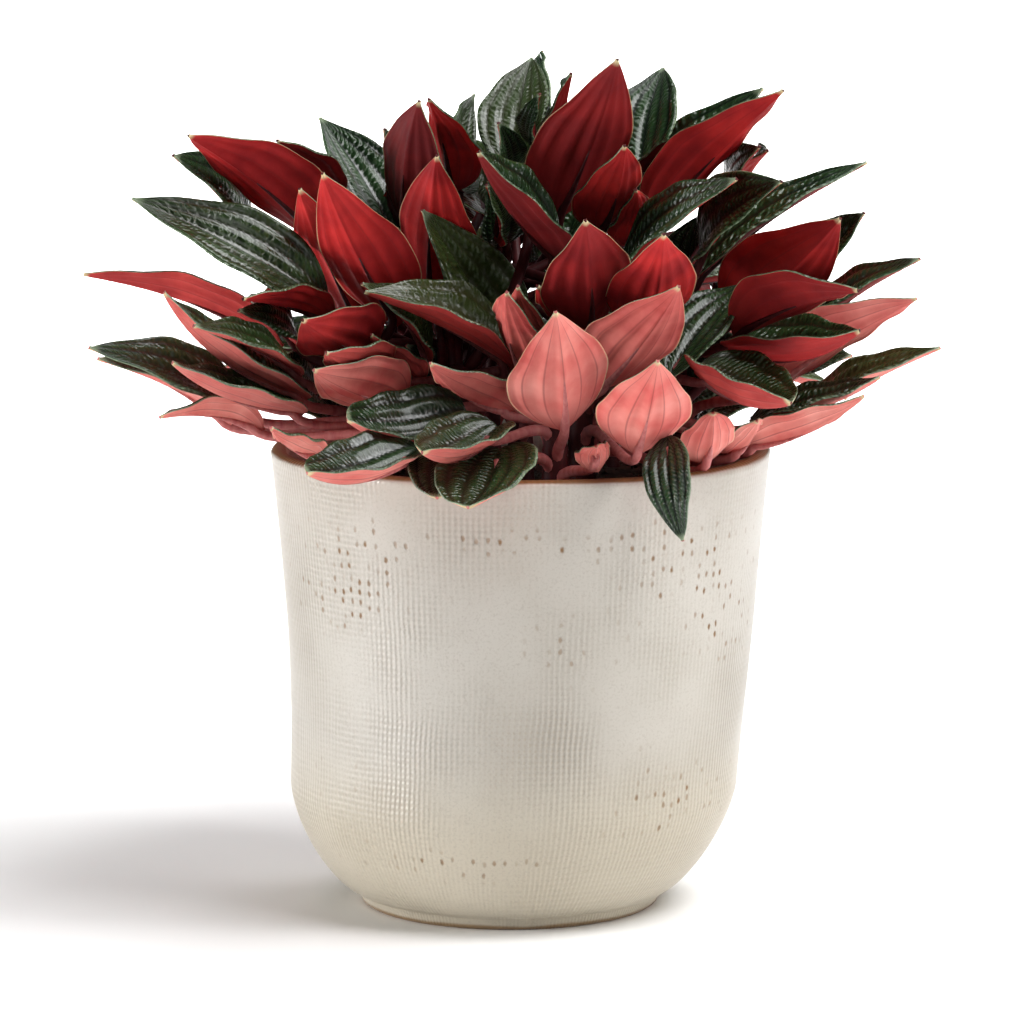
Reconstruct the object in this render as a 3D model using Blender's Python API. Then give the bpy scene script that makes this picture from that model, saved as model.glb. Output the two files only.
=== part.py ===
"""Ripple peperomia in a stoneware pot.

Metres, +Z up. The origin is the middle of the pot's foot, on the surface that it stands on, and -Y is
the side that the photograph shows. Lengths below are in millimetres and MM turns them into metres.

The pot is turned and its middle line sways 3 mm between foot and rim, as on the real one. The soil fills
it, and short fleshy stems stand in plain holes in the soil. Each leaf is one blade on one long stalk. The
leaves that the photograph shows are placed by where their tip and base are seen, and the hidden ones at
the back by a seeded rule. Leaves are bent clear of each other, and each stalk grows from the nearest stem
that it has a clear way to.
"""

import math
import random
from collections import Counter, namedtuple
from functools import lru_cache
from itertools import islice

import bmesh
import bpy
import numpy as np
from mathutils.bvhtree import BVHTree

MM = 0.001
UP = np.array((0.0, 0.0, 1.0))

# Pot, in millimetres
RIM_RADIUS = 70.0
POT_HEIGHT = 130.0
FOOT_RADIUS = 41.3
FOOT_TOP_RADIUS = 43.0
FOOT_HEIGHT = 3.6
BELLY_RADIUS = 62.8
BELLY_HEIGHT = 34.5
BELLY_POWER = 1.45
FLARE_POWER = 1.4
WALL = 5.0
LIP = WALL / 2.0
FLOOR = 12.0
FLOOR_RADIUS = 44.0
SWAY = 3.0
SWAY_TOP = 85.0
POT_SIDES = 32
OUTER_RINGS = (0.0, FOOT_HEIGHT, 6.0, 10.0, 16.0, 24.0, BELLY_HEIGHT, 62.0, 95.0, POT_HEIGHT - LIP)
INNER_RINGS = (POT_HEIGHT - LIP, 95.0, BELLY_HEIGHT, 20.0, FLOOR)
SOIL_RINGS = (20.0, BELLY_HEIGHT, 95.0)

# Soil and stems, in millimetres
GAP = 0.4
SOIL_EDGE = 116.0
SOIL_CROWN = 119.5
SOIL_SHOULDER = 0.6
HOLE_GAP = 0.48
HOLE_REACH = 5.0
STEM_BOTTOM = 104.0
STEM_RADIUS = 4.6
STEM_TOP_RADIUS = 3.2
STEM_SIDES = 6
FIRST_NODE = 122.5
NODE_SPACING = 3.1
LEAVES_PER_STEM = 10
ROOT_OFFSET = 1.2
RING_OF_STEMS = ((0.0, 1, 0.0), (24.0, 4, 45.0), (45.0, 8, 12.0))

# Stalks: how far the curve's two middle handles stand off its ends, as shares of its reach, and the
# sideways bends that are tried until the way is clear
STALK_RISE = 0.45
STALK_ALONG = 0.22
STALK_DROP = 0.16
BEND_SIZES = (0.0, 4.0, 8.0, 12.0, 17.0, 23.0, 30.0)
BEND_TURNS = 8
COUNTER_BEND = -0.6
STEMS_TRIED = 9
STEM_PULL = 0.8

# Leaves, in millimetres
LEAF_THICKNESS = 0.9
RIDGE = 0.8
EDGE_WAVE = 0.55
EDGE_WAVES = 3.0
WIDEST = 0.72
FOLDED_SHARE = 0.92
END_WIDTH = 0.5
BASE_EXTRA = 0.8
STALK_RADIUS = 1.5
STALK_SIDES = 3
STALK_FACING = (0.3, 1.0, 0.2)
STALK_STEPS = 3
ROOT_IN_BLADE = 4.5
ROOT_SUNK = 0.75
CLEARANCE = 0.4
PHASE_STEP = 1.7
SHIFT_STEP = 3.0
SHIFT_STEPS = range(-5, 15)
WIDTH_SHARES = (1.0, 0.85, 0.7)
SHADE_PLACES = 6
SHADE_STRIDE = 6
MOST_TIP_SHIFT = 21.0
TIP_SHIFT_COST = 0.8
FORWARD_COST = 1.5
INWARD_LEAN = 0.01
BLADE_ROWS = (0.2, 0.48, 0.78)
SMALL_BLADE_ROWS = (0.26, 0.66)
SMALL_BLADE = 45.0
BLADE_COLUMNS = (-1.0, -0.5, 0.0, 0.5, 1.0)

# The view that the leaves' places are read from: pixels of a square picture 1024 wide
CAMERA = np.array((0.6, -1700.0, 382.5))
CAMERA_AIM_HEIGHT = 110.4
PIXELS_PER_RADIAN = 6150.0
PICTURE_CENTRE = 512.0

# Hidden leaves at the back, in arcs: how many, how far out and how high their bases are, and how many
# degrees they rise. Turns are in degrees.
Tier = namedtuple("Tier", "count out height rise")
BACK_TIERS = (
    Tier(11, 54.0, 147.0, -9.0),
    Tier(9, 43.0, 168.0, -6.0),
    Tier(7, 30.0, 186.0, 14.0),
    Tier(5, 18.0, 172.0, 52.0),
)
BACK_MIDDLE = 90.0
BACK_SPREAD = 128.0
BACK_STAGGER = 5.0
BACK_TURNS = (0.0, 5.0, -5.0, 10.0, -10.0, 15.0, -15.0)
BACK_LENGTH = 55.0
BACK_WIDTH = 25.0
BACK_BOW = 4.0
BACK_FOLD = 0.42
BACK_POWER = 0.9
TURN_NOISE = 4.0
RISE_NOISE = 6.0
LENGTH_NOISE = 4.0
ROLL_NOISE = 0.35
SEED = 7

Leaf = namedtuple(
    "Leaf", "tip_px base_px depth lean face width length bow fold power", defaults=(0.42, 0.9))

# The leaves that the photograph shows, nearest first. tip_px and base_px are pixels in the photograph,
# depth is the base's place along Y, lean is -1 for a tip nearer than the base and 1 for one further,
# face is 1 for a blade seen square from its green top, -1 from its red back and near 0 on edge.
SEEN_LEAVES = (
    # Over and just behind the front of the rim
    Leaf((683, 541), (668, 436), -61, -1, 0.95, 15, 32, 4, 0.3, 0.8),
    Leaf((596, 446), (597, 470), -62, -1, -0.95, 11, 9, 1, 0.5, 0.6),
    Leaf((468, 508), (500, 448), -64, -1, 0.8, 31, 34, -3, 0.35, 0.5),
    Leaf((437, 498), (452, 446), -60, -1, 0.9, 22, 28, 1, 0.2, 0.5),
    Leaf((307, 474), (419, 449), -50, -1, 0.4, 27, 38, -5, 0.6, 0.55),
    Leaf((556, 313), (564, 429), -56, -1, -0.97, 31, 44, -3),
    Leaf((658, 362), (636, 453), -58, -1, -0.97, 28, 40, -3),
    Leaf((713, 413), (704, 462), -44, -1, -0.9, 18, 20, -2, 0.4, 0.6),
    Leaf((757, 421), (728, 452), -36, -1, -0.35, 16, 20, -2, 0.5, 0.6),
    Leaf((422, 453), (498, 426), -60, -1, 0.42, 26, 31, -5, 0.6, 0.55),
    Leaf((864, 397), (740, 446), -30, -1, -0.4, 19, 40, -3),
    Leaf((347, 421), (468, 416), -52, -1, 0.5, 30, 38, -6, 0.55, 0.5),
    Leaf((430, 364), (514, 410), -44, -1, -0.45, 24, 34, -3),
    # Middle of the front
    Leaf((679, 288), (600, 388), -40, -1, -0.85, 28, 52, -2),
    Leaf((586, 222), (590, 328), -36, -1, -0.97, 28, 54, -3),
    Leaf((664, 236), (645, 332), -34, -1, -0.95, 27, 54, -3),
    Leaf((791, 404), (695, 368), -42, -1, 0.3, 30, 36, -4, 0.7, 0.55),
    Leaf((506, 293), (527, 377), -32, -1, -0.6, 24, 40, -2),
    Leaf((517, 287), (547, 372), -26, -1, -0.5, 20, 40, -2),
    Leaf((537, 287), (604, 345), -28, -1, -0.55, 22, 42, -2),
    Leaf((364, 293), (514, 366), -28, -1, 0.32, 30, 54, 2, 0.65),
    Leaf((860, 332), (725, 348), -30, -1, 0.2, 27, 46, -5, 0.75),
    Leaf((880, 378), (750, 420), -24, -1, 0.3, 20, 40, -2),
    Leaf((750, 285), (668, 378), -42, 1, 0.75, 23, 46, 3),
    Leaf((314, 371), (402, 402), -36, -1, -0.7, 27, 36, -2),
    Leaf((326, 353), (384, 368), -30, -1, -0.5, 22, 30, -2),
    Leaf((303, 321), (372, 352), -24, -1, -0.8, 28, 38, -2),
    Leaf((371, 335), (420, 380), -30, -1, -0.5, 16, 28, -2),
    Leaf((361, 284), (430, 360), -16, -1, 0.4, 20, 44, 3),
    # Right side
    Leaf((858, 292), (735, 334), -22, -1, -0.55, 27, 52, 3),
    Leaf((840, 220), (730, 318), -16, -1, -0.9, 30, 58, -2),
    Leaf((738, 180), (620, 270), -20, -1, 0.45, 23, 54, 2),
    Leaf((868, 164), (690, 283), -8, 0, 0.4, 22, 60, 3),
    Leaf((941, 349), (790, 427), -14, -1, 0.3, 21, 52, 2),
    Leaf((917, 300), (770, 387), -16, -1, -0.6, 26, 54, 2),
    Leaf((921, 260), (795, 348), -4, -1, 0.3, 20, 50, 3),
    Leaf((865, 213), (815, 290), 2, -1, 0.6, 20, 40, 2),
    Leaf((783, 182), (700, 252), -6, -1, 0.6, 26, 50, 3),
    Leaf((784, 92), (650, 227), 4, -1, -0.6, 27, 60, 2),
    Leaf((764, 89), (650, 222), 14, 0, 0.6, 28, 56, 2),
    Leaf((713, 126), (650, 197), 20, -1, -0.4, 20, 44, 2),
    Leaf((760, 147), (728, 202), 16, -1, 0.3, 18, 38, 2),
    Leaf((768, 151), (740, 200), 10, -1, -0.3, 18, 38, 2),
    # Left side
    Leaf((322, 175), (398, 324), -20, -1, -0.9, 28, 58, -2),
    Leaf((421, 210), (512, 356), -26, -1, 0.85, 26, 52, 2),
    Leaf((131, 200), (328, 303), -18, 0, 0.75, 26, 62, 3),
    Leaf((163, 294), (310, 396), -28, -1, 0.18, 24, 54, -5, 0.6),
    Leaf((172, 364), (305, 411), -30, -1, 0.18, 21, 48, -3, 0.6),
    Leaf((88, 349), (247, 413), -22, -1, 0.6, 23, 54, 3),
    Leaf((271, 428), (322, 454), -40, -1, -0.35, 14, 24, -2),
    Leaf((83, 276), (283, 347), -10, 0, -0.35, 20, 60, 4),
    Leaf((193, 327), (300, 374), -18, -1, 0.3, 18, 42, 2),
    Leaf((97, 360), (230, 424), -12, -1, 0.35, 20, 50, 3),
    Leaf((160, 418), (262, 430), -22, -1, -0.35, 16, 40, 3),
    Leaf((243, 300), (330, 322), -10, -1, -0.4, 18, 40, 2),
    Leaf((238, 311), (300, 347), -6, -1, 0.5, 16, 34, 2),
    Leaf((299, 190), (368, 336), -8, -1, -0.85, 27, 54, -2),
    Leaf((188, 137), (322, 240), 0, -1, -0.7, 29, 56, 3),
    Leaf((277, 141), (330, 208), 8, -1, -0.6, 19, 44, 2),
    Leaf((172, 156), (250, 232), 12, -1, 0.5, 24, 46, 3),
    # Top, from the middle outward and back
    Leaf((477, 153), (562, 262), -14, -1, 0.12, 27, 52, -2, 0.75),
    Leaf((625, 147), (600, 230), -10, -1, -0.8, 22, 46, -2),
    Leaf((436, 157), (432, 300), 2, -1, -0.9, 27, 56, -2),
    Leaf((618, 61), (557, 217), 4, -1, -0.9, 31, 60, -3),
    Leaf((486, 185), (498, 240), 2, -1, 0.4, 14, 26, 2),
    Leaf((498, 123), (500, 180), 8, -1, 0.5, 14, 32, 2),
    Leaf((540, 94), (536, 150), 8, -1, 0.5, 10, 30, 2),
    Leaf((540, 140), (516, 192), 12, 1, 0.7, 16, 30, 2),
    Leaf((636, 190), (628, 244), -2, -1, -0.7, 16, 34, -2),
    Leaf((645, 172), (640, 208), 6, 1, 0.8, 12, 20, 2),
    Leaf((532, 59), (514, 172), 8, 1, 0.9, 23, 48, 3),
    Leaf((664, 69), (640, 184), 16, 1, 0.85, 26, 46, 3),
    Leaf((319, 119), (404, 257), 6, 1, 0.8, 26, 52, 3),
    Leaf((418, 102), (407, 230), 14, -1, -0.8, 27, 52, -3),
    Leaf((428, 100), (452, 190), 22, -1, -0.6, 21, 46, 2),
    Leaf((473, 95), (462, 190), 18, 1, 0.5, 20, 44, -4),
    Leaf((397, 121), (388, 196), 12, -1, -0.3, 18, 36, 2),
    Leaf((384, 129), (378, 190), 26, -1, 0.25, 16, 34, 2),
    Leaf((572, 74), (566, 160), 20, -1, -0.3, 18, 42, 2),
    Leaf((543, 52), (552, 150), 28, 1, 0.6, 25, 48, 3),
    Leaf((494, 100), (492, 150), 24, -1, -0.6, 12, 30, 2),
)

# Leaves in the shade between the others, which take what room the stalks leave
SHADE_LEAVES = (
    Leaf((488, 180), (497, 250), 26, -1, 0.8, 24, 34, 2),
    Leaf((575, 190), (560, 262), 30, -1, 0.8, 24, 34, 2),
    Leaf((530, 225), (540, 285), 30, -1, 0.8, 24, 34, 2),
    Leaf((452, 250), (462, 312), 24, -1, -0.8, 24, 34, 2),
    Leaf((500, 270), (512, 335), 26, -1, 0.8, 24, 34, 2),
    Leaf((700, 215), (690, 275), 24, -1, 0.8, 22, 32, 2),
    Leaf((735, 240), (715, 290), 26, -1, 0.8, 22, 34, 2),
    Leaf((452, 325), (506, 402), 12, -1, 0.7, 26, 42, 2),
    Leaf((406, 345), (462, 416), 4, -1, 0.7, 28, 40, 2),
    Leaf((640, 320), (632, 380), 10, -1, 0.8, 24, 34, 2),
    Leaf((690, 310), (665, 368), 14, -1, 0.8, 24, 34, 2),
    Leaf((780, 358), (684, 400), 8, -1, 0.6, 30, 44, 2),
    Leaf((740, 370), (700, 410), 10, -1, 0.7, 24, 34, 2),
    Leaf((775, 398), (680, 426), 0, -1, 0.6, 26, 44, 2),
    Leaf((828, 322), (735, 350), 6, -1, 0.6, 26, 46, 2),
    Leaf((852, 356), (762, 394), 4, -1, 0.5, 26, 42, 2),
    Leaf((820, 365), (780, 395), 6, -1, 0.7, 22, 34, 2),
    Leaf((258, 392), (362, 440), 4, -1, 0.5, 28, 46, 2),
    Leaf((262, 375), (320, 400), 10, -1, 0.7, 22, 34, 2),
    Leaf((282, 400), (330, 425), 0, -1, 0.7, 22, 34, 2),
    Leaf((322, 270), (365, 322), 18, -1, 0.7, 24, 34, 2),
)


def pot_outer_radius(height):
    """Radius of the pot's outer wall: a foot that widens upward, a belly on a quarter superellipse, then a
    flare."""
    if height <= FOOT_HEIGHT:
        return FOOT_RADIUS + (FOOT_TOP_RADIUS - FOOT_RADIUS) * height / FOOT_HEIGHT
    if height <= BELLY_HEIGHT:
        part = (BELLY_HEIGHT - height) / (BELLY_HEIGHT - FOOT_HEIGHT)
        reach = (1.0 - part ** BELLY_POWER) ** (1.0 / BELLY_POWER)
        return FOOT_TOP_RADIUS + (BELLY_RADIUS - FOOT_TOP_RADIUS) * reach
    part = (height - BELLY_HEIGHT) / (POT_HEIGHT - BELLY_HEIGHT)
    return BELLY_RADIUS + (RIM_RADIUS - BELLY_RADIUS) * part ** FLARE_POWER


def pot_inner_radius(height):
    """Radius of the pot's inner wall: a rounded corner at the floor, then one wall inside the outer one."""
    if height <= BELLY_HEIGHT:
        part = (BELLY_HEIGHT - height) / (BELLY_HEIGHT - FLOOR)
        reach = (1.0 - part ** 2.0) ** 0.5
        return FLOOR_RADIUS + (BELLY_RADIUS - WALL - FLOOR_RADIUS) * reach
    return pot_outer_radius(height) - WALL


def sway(height):
    """How far the pot's middle line stands to +X of the foot's middle, an eased step up to SWAY_TOP."""
    part = min(max(height / SWAY_TOP, 0.0), 1.0)
    return SWAY * part * part * (3.0 - 2.0 * part)


def pot_profile():
    """Radius and height pairs from the middle of the underside, up the outside and down the inside."""
    points = [(0.0, 0.0)]
    points += [(pot_outer_radius(height), height) for height in OUTER_RINGS]
    for step in (1, 2, 3):
        angle = math.pi * step / 4.0
        points.append((RIM_RADIUS - LIP + math.cos(angle) * LIP, POT_HEIGHT - LIP + math.sin(angle) * LIP))
    points += [(pot_inner_radius(height), height) for height in INNER_RINGS]
    points.append((0.0, FLOOR))
    return points


def soil_profile():
    """Radius and height pairs from the middle of the underside, up the pot's inside and over the mound."""
    points = [(0.0, FLOOR + GAP), (FLOOR_RADIUS - GAP, FLOOR + GAP)]
    points += [(pot_inner_radius(height) - GAP, height) for height in (*SOIL_RINGS, SOIL_EDGE)]
    rise = SOIL_EDGE + (SOIL_CROWN - SOIL_EDGE) * (1.0 - SOIL_SHOULDER ** 2.0)
    points.append((pot_inner_radius(SOIL_EDGE) * SOIL_SHOULDER, rise))
    points.append((0.0, SOIL_CROWN))
    return points


def new_object(name, bm, materials):
    """Object from a bmesh, with its faces turned outward and shaded smooth up to 40 degrees."""
    bmesh.ops.recalc_face_normals(bm, faces=bm.faces)
    mesh = bpy.data.meshes.new(name)
    bm.to_mesh(mesh)
    bm.free()
    for material in materials:
        mesh.materials.append(material)
    mesh.shade_smooth()
    mesh.set_sharp_from_angle(angle=math.radians(40.0))
    thing = bpy.data.objects.new(name, mesh)
    bpy.context.scene.collection.objects.link(thing)
    return thing


def turned(name, profile, materials):
    """Profile spun round Z into one closed body, then swayed with the pot's middle line."""
    bm = bmesh.new()
    corners = [bm.verts.new((radius * MM, 0.0, height * MM)) for radius, height in profile]
    edges = [bm.edges.new(pair) for pair in zip(corners[:-1], corners[1:])]
    bmesh.ops.spin(
        bm, geom=corners + edges, cent=(0, 0, 0), axis=(0, 0, 1), angle=math.tau, steps=POT_SIDES)
    bmesh.ops.remove_doubles(bm, verts=bm.verts, dist=0.00005)
    for vertex in bm.verts:
        vertex.co.x += sway(vertex.co.z / MM) * MM
    return new_object(name, bm, materials)


def material(name, colour, roughness):
    """Principled material with a flat colour."""
    made = bpy.data.materials.new(name)
    made.use_nodes = True
    shader = made.node_tree.nodes["Principled BSDF"]
    shader.inputs["Base Color"].default_value = (*colour, 1.0)
    shader.inputs["Roughness"].default_value = roughness
    made.diffuse_color = (*colour, 1.0)
    return made


def unit(vectors):
    """The same directions, each one long."""
    return vectors / np.linalg.norm(vectors, axis=-1, keepdims=True)


def seen(pixel, depth):
    """Point in millimetres that the picture shows at a pixel, on the upright plane y = depth."""
    pitch = math.atan2(CAMERA[2] - CAMERA_AIM_HEIGHT, -CAMERA[1])
    across = (pixel[0] - PICTURE_CENTRE) / PIXELS_PER_RADIAN
    down = (pixel[1] - PICTURE_CENTRE) / PIXELS_PER_RADIAN
    ray = np.array((
        across,
        math.cos(pitch) - down * math.sin(pitch),
        -math.sin(pitch) - down * math.cos(pitch),
    ))
    return CAMERA + ray * ((depth - CAMERA[1]) / ray[1])


Blade = namedtuple("Blade", "base tip normal width bow fold power phase")


def seen_blade(leaf, index, base_shift=0.0, tip_shift=0.0):
    """Blade of a leaf in the photograph, its base and tip moved along Y by the shifts."""
    depth = leaf.depth + base_shift
    base = seen(leaf.base_px, depth)
    flat_length = np.linalg.norm(seen(leaf.tip_px, depth) - base)
    reach = math.sqrt(max(leaf.length ** 2 - flat_length ** 2, 0.0))
    tip = seen(leaf.tip_px, depth + leaf.lean * reach + tip_shift)
    along = unit(tip - base)
    middle = (tip + base) / 2.0
    to_camera = CAMERA - middle
    to_camera = unit(to_camera - along * (to_camera @ along))
    sideways = np.cross(along, to_camera)
    if sideways @ (UP - INWARD_LEAN * middle * (1.0, 1.0, 0.0)) < 0.0:
        sideways = -sideways
    normal = to_camera * leaf.face + sideways * math.sqrt(1.0 - leaf.face ** 2)
    return Blade(base, tip, normal, leaf.width, leaf.bow, leaf.fold, leaf.power, index * PHASE_STEP)


def back_blade(tier, number, draw, extra_turn):
    """Blade of one of the hidden leaves, which stand in arcs round the back."""
    step = BACK_SPREAD / tier.count
    turn = BACK_MIDDLE - BACK_SPREAD / 2.0 + step * (number + 0.5) + extra_turn
    turn = math.radians(turn + draw.uniform(-TURN_NOISE, TURN_NOISE))
    rise = math.radians(tier.rise + draw.uniform(-RISE_NOISE, RISE_NOISE))
    length = BACK_LENGTH + draw.uniform(-LENGTH_NOISE, LENGTH_NOISE)
    roll = draw.uniform(-ROLL_NOISE, ROLL_NOISE)
    outward = np.array((math.cos(turn), math.sin(turn), 0.0))
    base = outward * tier.out + (sway(POT_HEIGHT), 0.0, tier.height + BACK_STAGGER * (number % 2))
    along = outward * math.cos(rise) + UP * math.sin(rise)
    normal = UP * math.cos(rise) - outward * math.sin(rise)
    normal = normal * math.cos(roll) + np.cross(normal, along) * math.sin(roll)
    tip = base + along * length
    return Blade(base, tip, normal, BACK_WIDTH, BACK_BOW, BACK_FOLD, BACK_POWER, number + tier.rise)


def blade_half_width(part, width, power):
    """Half the blade's width: sin(pi s^0.72)^power, widest at 0.38 of the length, with narrow ends."""
    swell = np.sin(math.pi * part ** WIDEST)
    return np.maximum(width / 2.0 * np.maximum(swell, 0.0) ** power, END_WIDTH + BASE_EXTRA * (1.0 - part))


def blade_surface(blade, part, column):
    """Points on the blade's top, from arrays of places along it, 0 to 1, and across it, -1 to 1.

    A bowed chord carries two halves that fold up from it, with a ridge along each and a waved edge.
    """
    along = blade.tip - blade.base
    side = unit(np.cross(blade.normal, along))
    half = blade_half_width(part, blade.width, blade.power)
    fold = blade.fold * half * abs(column)
    ridge = RIDGE * np.sin(math.pi * abs(column)) * np.sin(math.pi * part)
    wave = EDGE_WAVE * column * abs(column) * np.sin(EDGE_WAVES * math.tau * part + blade.phase)
    lift = blade.bow * 4.0 * part * (1.0 - part) + fold + ridge + wave * np.sin(math.pi * part)
    across = column * half * FOLDED_SHARE
    return blade.base + np.outer(part, along) + np.outer(across, side) + np.outer(lift, blade.normal)


def blade_rows(blade):
    """Places along the blade of its cross rows, fewer on a small one."""
    return SMALL_BLADE_ROWS if np.linalg.norm(blade.tip - blade.base) < SMALL_BLADE else BLADE_ROWS


@lru_cache
def blade_faces(rows, columns):
    """Triangles of a closed blade with so many cross rows, split alike on its top and its back."""
    under = rows * columns + 2
    tip = under - 1
    last = 1 + (rows - 1) * columns
    upper = []
    for column in range(columns - 1):
        upper += [(0, 1 + column, 2 + column), (last + column, tip, last + column + 1)]
        for row in range(rows - 1):
            a = 1 + row * columns + column
            b, c, d = a + 1, a + columns + 1, a + columns
            upper += ((a, b, c), (a, c, d)) if column < columns // 2 else ((a, b, d), (b, c, d))
    triangles = upper + [tuple(under + corner for corner in reversed(face)) for face in upper]
    right = [1 + row * columns + columns - 1 for row in range(rows)]
    left = [1 + row * columns for row in reversed(range(rows))]
    ring = [0] + right + [tip] + left
    for here, there in zip(ring, ring[1:] + ring[:1]):
        triangles += [(there, here, under + here), (there, under + here, under + there)]
    return triangles


def blade_mesh(blade, grow=0.0):
    """Corners and triangles of a closed blade. grow thickens it on both faces."""
    rows = blade_rows(blade)
    part = np.concatenate(([0.0], np.repeat(rows, len(BLADE_COLUMNS)), [1.0]))
    column = np.concatenate(([0.0], np.tile(BLADE_COLUMNS, len(rows)), [0.0]))
    top = blade_surface(blade, part, column)
    corners = np.vstack([top + blade.normal * grow, top - blade.normal * (LEAF_THICKNESS + grow)])
    return corners, blade_faces(len(rows), len(BLADE_COLUMNS))


def stalk_lines(blade, root, bends, steps):
    """Middle lines of a stalk, one for each pair of bends: cubic curves from the stem's side to a little
    way under the blade."""
    chord = blade.tip - blade.base
    part = ROOT_IN_BLADE / np.linalg.norm(chord)
    first_row = blade_rows(blade)[0]
    at_row = blade_surface(blade, np.array([first_row]), np.zeros(1))[0]
    end = blade.base + (at_row - blade.base) * (part / first_row)
    end -= blade.normal * (ROOT_SUNK * LEAF_THICKNESS)
    reach = np.linalg.norm(end - root)
    first = root + UP * (reach * STALK_RISE) + bends[:, :1]
    second = end - unit(chord) * (reach * STALK_ALONG) - UP * (reach * STALK_DROP) + bends[:, 1:]
    t = np.linspace(0.0, 1.0, steps + 1)[:, None]
    u = 1.0 - t
    return root * u ** 3 + first * 3.0 * u * u * t + second * 3.0 * u * t * t + end * t ** 3


def tube_corners(lines, radius, sides):
    """Corners of the rings round each of several lines. A ring stands square to its line's way there."""
    tangents = unit(np.gradient(lines, axis=1))
    across = unit(np.cross(lines[:, -1] - lines[:, 0], STALK_FACING))[:, None]
    first = unit(across - tangents * np.sum(tangents * across, axis=-1, keepdims=True))
    second = np.cross(tangents, first)
    angle = math.tau * np.arange(sides)[:, None] / sides
    rings = first[:, :, None] * np.cos(angle) + second[:, :, None] * np.sin(angle)
    return (lines[:, :, None] + rings * radius).reshape(len(lines), -1, 3)


@lru_cache
def tube_faces(rings, sides):
    """Triangles of a closed tube, its two ends filled."""
    triangles = []
    for ring in range(rings - 1):
        for side in range(sides):
            a = ring * sides + side
            b = ring * sides + (side + 1) % sides
            triangles += [(a, b, b + sides), (a, b + sides, a + sides)]
    end = (rings - 1) * sides
    for side in range(1, sides - 1):
        triangles += [(0, side + 1, side), (end, end + side, end + side + 1)]
    return triangles


Stalk = namedtuple("Stalk", "stem root bend corners")


class Thicket:
    """Everything placed so far, for asking whether a new piece would touch it."""

    def __init__(self):
        self.owners = []
        self.trees = []
        self.lows = np.empty((0, 3))
        self.highs = np.empty((0, 3))

    def add(self, owner, corners, triangles):
        """Keep a piece under its owner's name, with the box round it."""
        self.owners.append(owner)
        self.trees.append(BVHTree.FromPolygons(corners.tolist(), triangles))
        self.lows = np.vstack([self.lows, corners.min(axis=0)])
        self.highs = np.vstack([self.highs, corners.max(axis=0)])

    def touched(self, corners, triangles, ignored=()):
        """Whether the new piece crosses a placed one whose owner isn't ignored."""
        near = (corners.min(axis=0) <= self.highs) & (corners.max(axis=0) >= self.lows)
        near = np.flatnonzero(near.all(axis=1))
        others = [number for number in near if self.owners[number] not in ignored]
        if not others:
            return False
        tree = BVHTree.FromPolygons(corners.tolist(), triangles)
        return any(tree.overlap(self.trees[number]) for number in others)


@lru_cache
def shifts_by_cost():
    """Pairs of base and tip shifts along Y, the smallest first, with moves to the back cheaper."""
    steps = [SHIFT_STEP * number for number in SHIFT_STEPS]
    pairs = [(base, tip) for base in steps for tip in steps if abs(tip) <= MOST_TIP_SHIFT]

    def cost(pair):
        forward = max(-pair[0], 0.0)
        return abs(pair[0]) + TIP_SHIFT_COST * abs(pair[1]) + FORWARD_COST * forward

    return sorted(pairs, key=cost)


def clear_blades(thicket, leaf, index):
    """Blades of a leaf that touch nothing: the full width first, then narrower, with the least shift."""
    for share in WIDTH_SHARES:
        narrowed = leaf._replace(width=leaf.width * share)
        for base_shift, tip_shift in shifts_by_cost():
            blade = seen_blade(narrowed, index, base_shift, tip_shift)
            if not thicket.touched(*blade_mesh(blade, CLEARANCE)):
                yield blade


def place_blades(thicket):
    """Blades bent clear of the pot and of each other: seen leaves first, then the hidden ones."""
    placed = []
    for index, leaf in enumerate(SEEN_LEAVES):
        blade = next(clear_blades(thicket, leaf, index), None)
        if blade is not None:
            thicket.add(f"blade {len(placed)}", *blade_mesh(blade))
            placed.append(blade)
    draw = random.Random(SEED)
    for tier in BACK_TIERS:
        for number in range(tier.count):
            for extra_turn in BACK_TURNS:
                blade = back_blade(tier, number, draw, extra_turn)
                if not thicket.touched(*blade_mesh(blade, CLEARANCE)):
                    thicket.add(f"blade {len(placed)}", *blade_mesh(blade))
                    placed.append(blade)
                    break
    return placed


def stem_places():
    """Middle of each stem in the soil: one in the centre and two rings round it."""
    places = []
    for radius, count, start in RING_OF_STEMS:
        for number in range(count):
            angle = math.radians(start) + math.tau * number / count
            x = sway(POT_HEIGHT) + radius * math.cos(angle)
            places.append((x, radius * math.sin(angle)))
    return places


@lru_cache
def stalk_bends(size):
    """Pairs of sideways bends of one size, for the lower and upper part of a stalk."""
    straight = np.zeros(3)
    if size == 0.0:
        return np.array([(straight, straight)])
    bends = []
    for number in range(BEND_TURNS):
        angle = math.tau * number / BEND_TURNS
        aside = np.array((math.cos(angle) * size, math.sin(angle) * size, 0.0))
        bends += [(aside, aside), (aside, straight), (straight, aside), (aside, aside * COUNTER_BEND)]
    return np.array(bends)


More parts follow.
